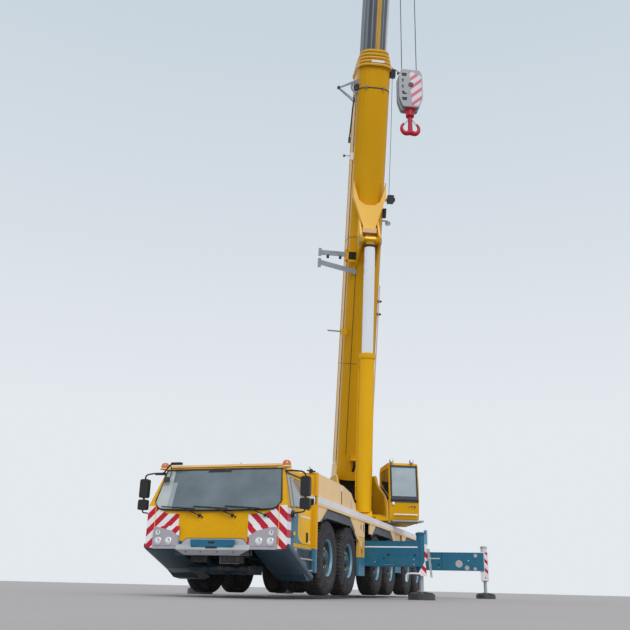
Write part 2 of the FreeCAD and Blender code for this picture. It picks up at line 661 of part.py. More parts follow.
def outriggers():
    """Four sliding beams with their jack barrels, and the jack rods on their pads."""
    for end in ("front", "rear"):
        low = f"beam_{end}_low"
        for side, sign in SIDES:
            y = f"out_{end}_y + {sign} * beam_off"
            x = f"{sign} * jack_{end}_x"
            inner, outer = (f"{x} - beam_long", x) if sign > 0 else (x, f"{x} + beam_long")
            tag = f"{end}_{side}"
            beam = block(f"beam_{tag}", (inner, outer), (f"{y} - beam_thick / 2", f"{y} + beam_thick / 2"),
                         (low, f"{low} + beam_tall"))
            barrel = rod(f"jack_barrel_{tag}", "z", "jack_r", (x, y, "560"), f"{low} + beam_tall + 160 - 560")
            bore = rod(f"jack_bore_{tag}", "z", "jack_rod_r + run_gap", (x, y, "500"), f"{low} + beam_tall - 500 + 60")
            node(f"outrigger_beam_{tag}", cut(f"outrigger_cut_{tag}", fuse(f"outrigger_{tag}", beam, barrel), bore))
            leg = fuse(f"leg_{tag}",
                       rod(f"jack_rod_{tag}", "z", "jack_rod_r", (x, y, "pad_thick - 40"), f"{low} + beam_tall - pad_thick - 260"),
                       rod(f"pad_{tag}", "z", "pad_r", (x, y, "0"), "pad_thick"),
                       rod(f"pad_cup_{tag}", "z", "jack_rod_r * 2", (x, y, "pad_thick"), "70"))
            node(f"jack_leg_{tag}", leg)


def slewed():
    """Frame of the superstructure: the slewing centre, turned as parked."""
    return Placement(Vector(0, size("slew_y"), 0), Rotation(Z_AXIS, size("slew_rest")))


def boom_frame():
    """Frame of the boom: the foot pin, +Z along the boom and -Y at its belly."""
    seat = Placement(Vector(0, size("pivot_back"), size("pivot_high")), Rotation(X_AXIS, size("boom_lean")))
    return slewed().multiply(seat)


def cylinder_angle():
    """Lean of the luffing cylinder from upright, in degrees, and its length."""
    lean = math.radians(size("boom_lean"))
    along, drop = size("eye_along"), size("boom_drop") + size("boom_half_tall") + size("eye_drop")
    eye_y = size("pivot_back") - along * math.sin(lean) - drop * math.cos(lean)
    eye_z = size("pivot_high") + along * math.cos(lean) - drop * math.sin(lean)
    ahead, rise = -size("foot_ahead") - eye_y, eye_z - size("foot_high")
    return math.degrees(math.atan2(ahead, rise)), math.hypot(ahead, rise)


def cylinder_frame():
    """Frame of the luffing cylinder: its foot pin, +Z along it."""
    seat = Placement(Vector(0, -size("foot_ahead"), size("foot_high")), Rotation(X_AXIS, cylinder_angle()[0]))
    return slewed().multiply(seat)


def slewing_platform():
    """Slewing ring, floor and the two side plates that hold the boom and its cylinder."""
    floor, mouth = "platform_low + 120", "(barrel_r + 45)"
    plate = extrude("side_plate_left", "side", [
        ("-1750", "platform_low"), ("-1750", "2500"), ("-1480", "2870"), ("-600", "3230"),
        ("-250", "3420"), ("70", "3700"), ("pivot_back - 250", "pivot_high + 220"),
        ("pivot_back + 180", "pivot_high + 200"), ("pivot_back + 330", "pivot_high - 100"),
        ("pivot_back + 700", "2900"), ("3300", "2700"), ("3380", floor), ("3900", floor), ("3900", "platform_low"),
    ], "platform_half - side_plate", "platform_half")
    solids = [
        rod("slewing_ring", "z", "ring_r", ("0", "0", "ring_low"), "ring_tall"),
        extrude("platform_floor", "top", [
            ("-platform_half", "-1750"), (f"-{mouth}", "-1750"), (f"-{mouth}", "-ring_r - 10"),
            (mouth, "-ring_r - 10"), (mouth, "-1750"), ("platform_half", "-1750"),
            ("platform_half", "3900"), ("-platform_half", "3900"),
        ], "platform_low", floor),
        plate, flip("side_plate_right", plate),
        rod("boom_foot_pin", "x", "pivot_pin_r", ("-platform_half - 30", "pivot_back", "pivot_high"), "2 * platform_half + 60"),
        rod("cylinder_foot_pin", "x", "90", ("-platform_half - 8", "-foot_ahead", "foot_high"), "2 * platform_half + 16"),
        block("cab_bracket", ("platform_half", "platform_half + 860"), ("-1870", "-320"), ("platform_low - 60", "platform_low + 40")),
    ] + tilt_ears()
    node("slewing_platform", fuse("platform_solid", *solids), slewed())


def counterweight():
    """Stacked slabs behind the platform."""
    slabs = []
    for index in range(4):
        low = f"platform_low + 120 + {index} * 290"
        slabs.append(extrude(f"slab_{index}", "top", [
            ("-tail_half", "3450"), ("tail_half", "3450"), ("tail_half", "tail_back - 350"),
            ("tail_half - 450", "tail_back"), ("-tail_half + 450", "tail_back"), ("-tail_half", "tail_back - 350"),
        ], low, f"{low} + 290"))
    node("counterweight", fuse("slab_stack", *slabs), slewed())


def hoist_winch():
    """Hoist drum with its flanges and gear case between the side plates."""
    drum_half = "platform_half - side_plate"
    solids = [rod("drum", "x", "250", ("-430", "2850", "2660"), "860"),
              rod("drum_axle", "x", "90", (f"-({drum_half})", "2850", "2660"), f"2 * ({drum_half})")]
    for index, x in enumerate(("-460", "430")):
        solids.append(rod(f"flange_{index}", "x", "340", (x, "2850", "2660"), "30"))
    node("hoist_winch", fuse("winch_solid", *solids), slewed())


CAB_SIDE = [
    # y, z of the operator's cab outline
    ("-1860", "2200"), ("-1930", "2720"), ("-1830", "3790"), ("-1730", "3870"), ("-520", "3870"),
    ("-400", "3740"), ("-400", "2200"),
]


TILT_PIN = ("-360", "2240")
TILT_KNUCKLES = ("platform_half + 150", "platform_half + 620")


def tilt_ears():
    """Ears and pins on the cab bracket, on both sides of each hinge knuckle."""
    solids = []
    y, z = TILT_PIN
    for index, x in enumerate(TILT_KNUCKLES):
        solids.append(rod(f"tilt_pin_{index}", "x", "20", (f"{x} - 35", y, z), "170"))
        for end, start in enumerate((f"{x} - 35", f"{x} + 105")):
            solids.append(block(f"tilt_ear_{index}_{end}", (start, f"{start} + 30"), ("-385", "-325"),
                                ("platform_low + 20", "2262")))
    return solids


def operator_cab():
    """Operator's cab beside the boom, hollow, with its windows cut."""
    outer = extrude("operator_outer", "side", CAB_SIDE, "platform_half + 20", "platform_half + 910")
    inner = extrude("operator_inner", "side", [
        ("-1815", "2245"), ("-1883", "2720"), ("-1785", "3770"), ("-1712", "3825"), ("-540", "3825"),
        ("-445", "3720"), ("-445", "2245"),
    ], "platform_half + 65", "platform_half + 865")
    front = block("operator_front_cut", ("platform_half + 90", "platform_half + 840"), ("-2100", "-1640"), ("2740", "3740"))
    side_points = [("-1770", "2770"), ("-1680", "3720"), ("-570", "3720"), ("-570", "2770")]
    sides = extrude("operator_side_cut", "side", side_points, "platform_half - 30", "platform_half + 950")
    solids = [cut("operator_cut", cut("operator_shell", outer, inner), front, sides)]
    y, z = TILT_PIN
    bores = []
    for index, x in enumerate(TILT_KNUCKLES):
        solids.append(rod(f"tilt_knuckle_{index}", "x", "38", (x, y, z), "100"))
        solids.append(block(f"tilt_leaf_{index}", (x, f"{x} + 100"), ("-420", y), ("2205", "2275")))
        bores.append(rod(f"tilt_bore_{index}", "x", "20 + seat_gap", (f"{x} - 10", y, z), "120"))
    node("operator_cab", cut("operator_bored", fuse("operator_solid", *solids), *bores), slewed())


BOOM_OUTLINE = [
    # fraction of half width, fraction of half height from the axis, belly first
    (0.30, -1.0), (0.58, -0.94), (0.80, -0.80), (0.94, -0.62), (1.0, -0.40), (1.0, 0.74), (0.80, 1.0),
]


def boom_prism(name, inset, low, high, grow="0"):
    """Boom section drawn in by an inset, along part of the boom."""
    right = [(f"{a} * (boom_half_wide - ({inset}))", f"{b} * (boom_half_tall - ({inset})) - boom_drop")
             for a, b in BOOM_OUTLINE]
    left = [(f"-{a} * (boom_half_wide - ({inset}))", f"{b} * (boom_half_tall - ({inset})) - boom_drop")
            for a, b in reversed(BOOM_OUTLINE)]
    return extrude(name, "top", right + left, low, high)


def wear_pads():
    """Sliding pads in the top collar, just clear of the innermost section."""
    near, far = "tip_gap - seat_gap", "20"
    wide, tall = "(boom_half_wide - boom_wall)", "(boom_half_tall - boom_wall)"
    along = ("base_long - collar_tall", "base_long - 10")
    return [
        block("pad_belly", ("-140", "140"), (f"-boom_drop - {tall} - {far}", f"-boom_drop - {tall} + {near}"), along),
        block("pad_back", ("-240", "240"), (f"-boom_drop + {tall} - ({near})", f"-boom_drop + {tall} + {far}"), along),
        block("pad_left", (f"{wide} - ({near})", f"{wide} + {far}"), ("-boom_drop - 200", "-boom_drop + 250"), along),
        block("pad_right", (f"-{wide} - {far}", f"-{wide} + {near}"), ("-boom_drop - 200", "-boom_drop + 250"), along),
    ]


def boom_base():
    """Base section with its nested sections' collars, the foot and the lugs of the rod eye."""
    solids = [boom_prism("base_tube", "0", "350", "base_long - 5 * collar_tall")]
    for index in range(5):
        inset = f"-50 + {index} * (boom_wall - 10) / 4"
        low = f"base_long - {5 - index} * collar_tall"
        solids.append(boom_prism(f"collar_{index}", inset, low, f"{low} + collar_tall"))
    foot = extrude("foot_lug", "side", [
        ("190", "-40"), ("80", "-180"), ("-120", "-190"), ("-boom_drop - boom_half_tall * 0.6", "300"),
        ("-boom_drop - boom_half_tall * 0.6", "700"), ("-boom_drop + boom_half_tall * 0.72", "700"), ("330", "260"),
    ], "boom_half_wide - boom_wall", "boom_half_wide + 20")
    solids += [foot, flip("foot_lug_right", foot)]
    belly = "-boom_drop - boom_half_tall"
    lug = extrude("eye_lug", "side", [
        (f"{belly} + 150", "eye_along - 900"), (f"{belly} - eye_drop - 60", "eye_along - 200"),
        (f"{belly} - eye_drop - 190", "eye_along - 60"), (f"{belly} - eye_drop - 190", "eye_along + 90"),
        (f"{belly} - eye_drop - 60", "eye_along + 200"), (f"{belly} + 150", "eye_along + 1100"),
    ], "lug_in", "lug_in + lug_thick")
    solids += [lug, flip("eye_lug_right", lug)]
    brace_side = extrude("brace_side", "side", [
        (f"{belly} + 110", "eye_along + 450"), (f"{belly} - eye_drop * 0.66", "eye_along + 450"),
        (f"{belly} - 12", "eye_along + 2100"), (f"{belly} + 110", "eye_along + 2100"),
    ], "-boom_half_wide", "boom_half_wide")
    arm = [(200, 450), (370, 1000), (550, 1540), (550, 2100), (500, 1850), (360, 1400), (150, 1250)]
    brace_front = extrude("brace_front", "front",
                          [(str(x), f"eye_along + {z}") for x, z in arm]
                          + [(str(-x), f"eye_along + {z}") for x, z in reversed(arm)],
                          f"{belly} - eye_drop", f"{belly} + 260")
    solids.append(common("brace", brace_side, brace_front))
    boss = rod("eye_boss", "x", "130", ("rod_r + 5", f"{belly} - eye_drop", "eye_along"), "lug_in + lug_thick + 35 - rod_r")
    solids += [boss, flip("eye_boss_right", boss)]
    hollow = boom_prism("base_hollow", "boom_wall", "300", "base_long + 100")
    bore = rod("foot_bore", "x", "pivot_pin_r + run_gap", ("-800", "0", "0"), "1600")
    open_base = cut("base_cut", fuse("base_solid", *solids), hollow, bore)
    node("boom_base", fuse("base_with_pads", open_base, *wear_pads()), boom_frame())


def boom_tip():
    """Innermost section with the head's cheeks and the sheave axle."""
    end = "(base_long + tip_out)"
    inset = "boom_wall + tip_gap"
    tube = cut("tip_tube", boom_prism("tip_outer", inset, f"{end} - tip_long", end),
               boom_prism("tip_inner", f"{inset} + 22", f"{end} - tip_long - 10", f"{end} - 40"))
    cheek = extrude("cheek", "side", [
        ("-boom_drop + 420", f"{end} - 500"), ("-boom_drop + 420", f"{end} + 250"),
        ("-boom_drop + 150", f"{end} + 520"), ("-boom_drop - head_ahead", f"{end} + 560"),
        ("-boom_drop - head_ahead - 180", f"{end} + 430"), ("-boom_drop - head_ahead - 180", f"{end} + 220"),
        ("-boom_drop - 370", f"{end} + 25"), ("-boom_drop - 370", f"{end} - 500"),
    ], "350", "390")
    axle = rod("sheave_axle", "x", "60", ("-400", "-boom_drop - head_ahead", f"{end} + 330"), "800")
    tie_rod = rod("head_spacer", "x", "50", ("-390", "-boom_drop + 250", f"{end} + 330"), "780")
    node("boom_tip", fuse("tip_solid", tube, cheek, flip("cheek_right", cheek), axle, tie_rod), boom_frame())


def head_sheaves():
    """Head sheaves on one hub."""
    axle = ("-boom_drop - head_ahead", "base_long + tip_out + 330")
    solids = [rod("sheave_hub", "x", "110", ("-330", *axle), "660")]
    for index, x in enumerate((-220, 180)):
        solids.append(rod(f"sheave_{index}", "x", "sheave_r", (str(x), *axle), "40"))
    bore = rod("sheave_bore", "x", "60 + run_gap", ("-350", *axle), "700")
    node("head_sheaves", cut("sheave_cut", fuse("sheave_solid", *solids), bore), boom_frame())


def head_point():
    """The sheave axle in the superstructure's frame: y and z."""
    lean = math.radians(size("boom_lean"))
    along = size("base_long") + size("tip_out") + 330
    ahead = size("boom_drop") + size("head_ahead")
    y = size("pivot_back") - along * math.sin(lean) - ahead * math.cos(lean)
    return y, size("pivot_high") + along * math.cos(lean) - ahead * math.sin(lean)


def hook_block():
    """Hook block under the head: cheeks, weights, sheaves and the hook."""
    y, z = head_point()
    top = z - size("rope_fall")
    half = [(250, -40), (320, -200), (320, -900), (235, -1210)]
    body = extrude("block_body", "front", [(str(-x), str(z)) for x, z in half]
                   + [(str(x), str(z)) for x, z in reversed(half)], "-170", "170")
    shank = rod("hook_shank", "z", "60", ("0", "0", "-1520"), "330")
    ring = doc.addObject("Part::Torus", "hook_ring")
    ring.Radius1 = 190
    ring.Radius2 = 62
    ring.Angle3 = 270
    ring.Placement = Placement(Vector(0, 0, -1745), Rotation(X_AXIS, 90) * Rotation(Z_AXIS, 90 - 270 - 10))
    hook = fuse("block_solid", body, shank, ring)
    front = y - size("sheave_r") - size("rope_r") - size("seat_gap")
    frame = slewed().multiply(Placement(Vector(0, front, top), Rotation()))
    node("hook_block", hook, frame)


def hoist_rope():
    """Two rope falls from the head sheaves down to the hook block."""
    y, z = head_point()
    falls = [rod(f"fall_{index}", "z", "rope_r", (x, "0", "-40"), "rope_fall + 40")
             for index, x in enumerate(("-200", "200"))]
    front = y - size("sheave_r") - size("rope_r") - size("seat_gap")
    frame = slewed().multiply(Placement(Vector(0, front, z - size("rope_fall")), Rotation()))
    node("hoist_rope", group("rope_falls", *falls), frame)


def luffing_cylinder():
    """Barrel on its foot pin and the rod with its eye between the boom's lugs."""
    length = cylinder_angle()[1]
    barrel = fuse("barrel_solid", rod("barrel_tube", "z", "barrel_r", ("0", "0", "150"), "barrel_long - 150"),
                  rod("barrel_collar", "z", "barrel_r + barrel_lip", ("0", "0", "barrel_long - 160"), "160"),
                  rod("barrel_eye", "x", "210", ("-230", "0", "0"), "460"))
    hole = rod("barrel_bore", "z", "rod_r + run_gap", ("0", "0", "320"), "barrel_long")
    foot = rod("barrel_foot_bore", "x", "90 + run_gap", ("-300", "0", "0"), "600")
    node("luffing_barrel", cut("barrel_cut", barrel, hole, foot), cylinder_frame())
    rod_shape = fuse("rod_solid", rod("rod_bar", "z", "rod_r", ("0", "0", "rod_start"), f"{length - 100} - rod_start"),
                     rod("rod_eye", "x", "eye_r", ("5 - rod_r", "0", str(length)), "2 * rod_r - 10"))
    node("luffing_rod", rod_shape, cylinder_frame())


def build():
    """Make every sub-part, check it and write it out."""
    for make in (chassis_frame, axle_beams, knuckles, wheels, carrier_cab, cab_interior, front_bumper, side_panels,
                 arch_skirts, deck, engine, outriggers, slewing_platform, counterweight, hoist_winch, operator_cab,
                 luffing_cylinder, boom_base, boom_tip, head_sheaves, hoist_rope, hook_block):
        make()
    doc.recompute()
    for obj in doc.Objects:
        if "Invalid" in obj.State or "Error" in obj.State:
            raise RuntimeError(f"{obj.Name} failed")
    os.makedirs("parts", exist_ok=True)
    for sub_part in NODES:
        shape = sub_part.Shape
        if shape.isNull() or not shape.isValid():
            raise RuntimeError(f"{sub_part.Label} has no valid shape")
        shape.exportStep(f"parts/{sub_part.Label}.step")
        print(sub_part.Label, len(shape.Solids), round(shape.Volume / 1e9, 4))
    print(len(NODES), "sub-parts, cylinder", cylinder_angle(), "head", head_point())


build()
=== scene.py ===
"""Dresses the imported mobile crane: materials, camera, light and its small pieces.

Row frame in metres: +X is the crane's left, -Y its front, +Z up. Pieces of the
superstructure, boom, cylinder and hook are made in the frame of what carries them.
"""
import math

import bmesh
import bpy
from mathutils import Matrix, Vector


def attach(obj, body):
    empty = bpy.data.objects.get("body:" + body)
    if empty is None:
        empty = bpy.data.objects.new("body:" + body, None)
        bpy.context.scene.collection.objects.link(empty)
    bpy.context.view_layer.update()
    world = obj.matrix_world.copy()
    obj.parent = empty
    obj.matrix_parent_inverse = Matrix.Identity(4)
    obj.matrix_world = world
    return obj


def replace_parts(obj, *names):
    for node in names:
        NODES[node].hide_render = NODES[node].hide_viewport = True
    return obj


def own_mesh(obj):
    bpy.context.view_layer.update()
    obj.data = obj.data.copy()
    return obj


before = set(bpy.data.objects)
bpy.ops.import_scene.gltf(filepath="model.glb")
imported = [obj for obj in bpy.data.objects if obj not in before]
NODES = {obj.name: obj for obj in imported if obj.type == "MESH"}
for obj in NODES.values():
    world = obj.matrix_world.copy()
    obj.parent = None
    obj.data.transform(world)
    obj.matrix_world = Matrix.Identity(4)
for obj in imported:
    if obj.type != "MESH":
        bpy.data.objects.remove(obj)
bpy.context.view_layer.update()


def turn(axis, degrees):
    """Rotation matrix about one axis."""
    return Matrix.Rotation(math.radians(degrees), 4, axis)


ROW = Matrix.Identity(4)
SLEW = Matrix.Translation((0, 3.075, 0)) @ turn("Z", 24)
BOOM = SLEW @ Matrix.Translation((0, 1.6, 3.55)) @ turn("X", 17)
CYLINDER = SLEW @ Matrix.Translation((0, -1.29, 2.27)) @ turn("X", 7.0457)
HOOK = SLEW @ Matrix.Translation((0, -8.0102, 13.3433))
WHEEL_X, WHEEL_Z = 1.28, 0.8165
AXLE_Y = {1: -5.175, 2: -3.475, 3: -0.575, 4: 1.175, 5: 3.775, 6: 5.525}
SIDES = {"left": 1, "right": -1}
ROPE_FALL = 15.9

# ---------------------------------------------------------------- camera


def make_camera():
    """Camera at floor level, as in the photo."""
    data = bpy.data.cameras.new("camera")
    data.lens, data.sensor_width = 43.56, 36
    data.clip_end = 1000
    camera = bpy.data.objects.new("camera", data)
    right = Vector((0.95548463, 0.29412999, 0.02316593))
    up = Vector((0.07833989, -0.32861838, 0.94120817))
    ahead = Vector((-0.2844503, 0.89749513, 0.33703192))
    camera.matrix_world = Matrix.Translation((6.16778, -21.26776, 0.21566)) @ Matrix(
        (right, up, -ahead)).transposed().to_4x4()
    bpy.context.scene.collection.objects.link(camera)
    bpy.context.scene.camera = camera


# ---------------------------------------------------------------- materials


def linear(rgb):
    """sRGB bytes as linear RGBA."""
    return tuple(((c / 255 + 0.055) / 1.055) ** 2.4 if c > 10 else c / 3294.6 for c in rgb) + (1.0,)


class Graph:
    """A material or world node tree with short calls for common nodes."""

    def __init__(self, tree, output):
        self.tree = tree
        tree.nodes.clear()
        self.out = self.node(output)

    def node(self, kind, **values):
        made = self.tree.nodes.new(kind)
        for key, value in values.items():
            setattr(made, key, value)
        return made

    def feed(self, socket, value):
        if isinstance(value, bpy.types.NodeSocket):
            self.tree.links.new(value, socket)
        else:
            socket.default_value = value

    def math(self, operation, a, b=0.0, clamp=False):
        made = self.node("ShaderNodeMath", operation=operation, use_clamp=clamp)
        self.feed(made.inputs[0], a)
        self.feed(made.inputs[1], b)
        return made.outputs[0]

    def vector(self, operation, a, b=None):
        made = self.node("ShaderNodeVectorMath", operation=operation)
        self.feed(made.inputs[0], a)
        if b is not None:
            self.feed(made.inputs[1], b)
        return made.outputs[0]

    def mix(self, factor, a, b):
        made = self.node("ShaderNodeMix", data_type="RGBA")
        self.feed(made.inputs[0], factor)
        self.feed(made.inputs[6], a)
        self.feed(made.inputs[7], b)
        return made.outputs[2]

    def noise(self, vector, scale, detail=3.0):
        made = self.node("ShaderNodeTexNoise")
        self.feed(made.inputs["Vector"], vector)
        made.inputs["Scale"].default_value = scale
        made.inputs["Detail"].default_value = detail
        return made.outputs["Fac"]

    def fit(self, value, low, high, out_low=0.0, out_high=1.0):
        made = self.node("ShaderNodeMapRange")
        for socket, content in zip(made.inputs, (value, low, high, out_low, out_high)):
            self.feed(socket, content)
        return made.outputs[0]

    def split(self, vector):
        made = self.node("ShaderNodeSeparateXYZ")
        self.feed(made.inputs[0], vector)
        return made.outputs

    def inside(self, vector, low, high):
        """1 inside a box, 0 outside."""
        middle = [(a + b) / 2 for a, b in zip(low, high)]
        half = [(b - a) / 2 for a, b in zip(low, high)]
        away = self.vector("ABSOLUTE", self.vector("SUBTRACT", vector, middle))
        x, y, z = self.split(self.vector("SUBTRACT", away, half))
        return self.math("LESS_THAN", self.math("MAXIMUM", self.math("MAXIMUM", x, y), z), 0.0)


PAINTS = {}
DUST = (172, 160, 142)


def paint(name, rgb, rough=0.42, metal=0.0, coat=0.0, cloud=0.10, dust=0.22, grain=0.12, scale=1.0,
          zones=(), place=None, stretch=(1, 1, 1), stripes=None, alpha=1.0, streak=0.0, shine=0.5, lines=None):
    """Procedural finish: clouded colour, colour zones or stripes, dust on what faces up, fine grain."""
    material = bpy.data.materials.new(name)
    material.use_nodes = True
    g = Graph(material.node_tree, "ShaderNodeOutputMaterial")
    where = g.node("ShaderNodeTexCoord").outputs["Object"]
    if place is not None:
        mapping = g.node("ShaderNodeMapping", vector_type="TEXTURE")
        g.feed(mapping.inputs["Vector"], where)
        mapping.inputs["Location"].default_value = place.to_translation()
        mapping.inputs["Rotation"].default_value = place.to_euler()
        where = mapping.outputs[0]
    colour = linear(rgb)
    if stripes:
        other, period, slope, share = stripes
        x, y, z = g.split(where)
        along = g.math("ADD", g.math("MULTIPLY", x, slope[0]),
                       g.math("ADD", g.math("MULTIPLY", y, slope[1]), g.math("MULTIPLY", z, slope[2])))
        band = g.math("FRACT", g.math("MULTIPLY", along, 1 / period))
        colour = g.mix(g.math("LESS_THAN", band, share), colour, linear(other))
    for low, high, other in zones:
        colour = g.mix(g.inside(where, low, high), colour, linear(other))
    if lines:
        other, closeness, low, high = lines
        runs = g.noise(g.vector("MULTIPLY", where, (closeness, closeness, 0.12)), 1.0, 4)
        colour = g.mix(g.fit(runs, low, high), colour, linear(other))
    stretched = g.vector("MULTIPLY", where, stretch)
    broad = g.noise(stretched, 0.9 / scale, 4)
    fine = g.noise(where, 42 / scale, 3)
    tone = g.node("ShaderNodeHueSaturation")
    g.feed(tone.inputs["Color"], colour)
    g.feed(tone.inputs["Value"], g.fit(broad, 0.3, 0.7, 1 - cloud, 1 + cloud * 0.5))
    g.feed(tone.inputs["Saturation"], g.fit(fine, 0.3, 0.7, 0.94, 1.04))
    base = tone.outputs[0]
    normal = g.node("ShaderNodeNewGeometry")
    up = g.math("MAXIMUM", g.split(normal.outputs["Normal"])[2], 0.0)
    height = g.split(normal.outputs["Position"])[2]
    low_down = g.fit(height, 0.1, 1.6, 0.45, 0.0)
    patchy = g.fit(g.noise(where, 5 / scale, 5), 0.42, 0.72)
    film = g.math("MULTIPLY", g.math("MULTIPLY", g.math("ADD", g.math("MULTIPLY", up, 0.8), low_down), patchy),
                  dust * 2, clamp=True)
    if streak:
        runs = g.fit(g.noise(g.vector("MULTIPLY", where, (9, 9, 0.35)), 2.0, 4), 0.45, 0.75)
        film = g.math("ADD", film, g.math("MULTIPLY", runs, streak), clamp=True)
    base = g.mix(film, base, linear(DUST))
    shader = g.node("ShaderNodeBsdfPrincipled")
    g.feed(shader.inputs["Base Color"], base)
    shader.inputs["Metallic"].default_value = metal
    shader.inputs["Specular IOR Level"].default_value = shine
    shader.inputs["Coat Weight"].default_value = coat
    shader.inputs["Coat Roughness"].default_value = 0.12
    shader.inputs["Alpha"].default_value = alpha
    g.feed(shader.inputs["Roughness"], g.math("ADD", g.fit(fine, 0.3, 0.7, rough - 0.05, rough + 0.06),
                                              g.math("MULTIPLY", film, 0.3), clamp=True))
    bump = g.node("ShaderNodeBump")
    bump.inputs["Strength"].default_value = grain
    bump.inputs["Distance"].default_value = 0.004 * scale
    g.feed(bump.inputs["Height"], fine)
    g.feed(shader.inputs["Normal"], bump.outputs[0])
    g.feed(g.out.inputs["Surface"], shader.outputs[0])
    PAINTS[name] = material
    return material


YELLOW = (228, 170, 0)
# Pale yellow: painted sky glare, the yellow paint as it looks where bright sky lights it.
SKY_GLARE_YELLOW = (244, 206, 146)
TEAL = (34, 104, 134)
# Lighter teal for side faces: a painted reflection of the sky on the teal paint.
SHEEN_TEAL = (66, 126, 156)
GREY = (150, 154, 158)
RED = (196, 6, 42)
WHITE = (240, 239, 242)


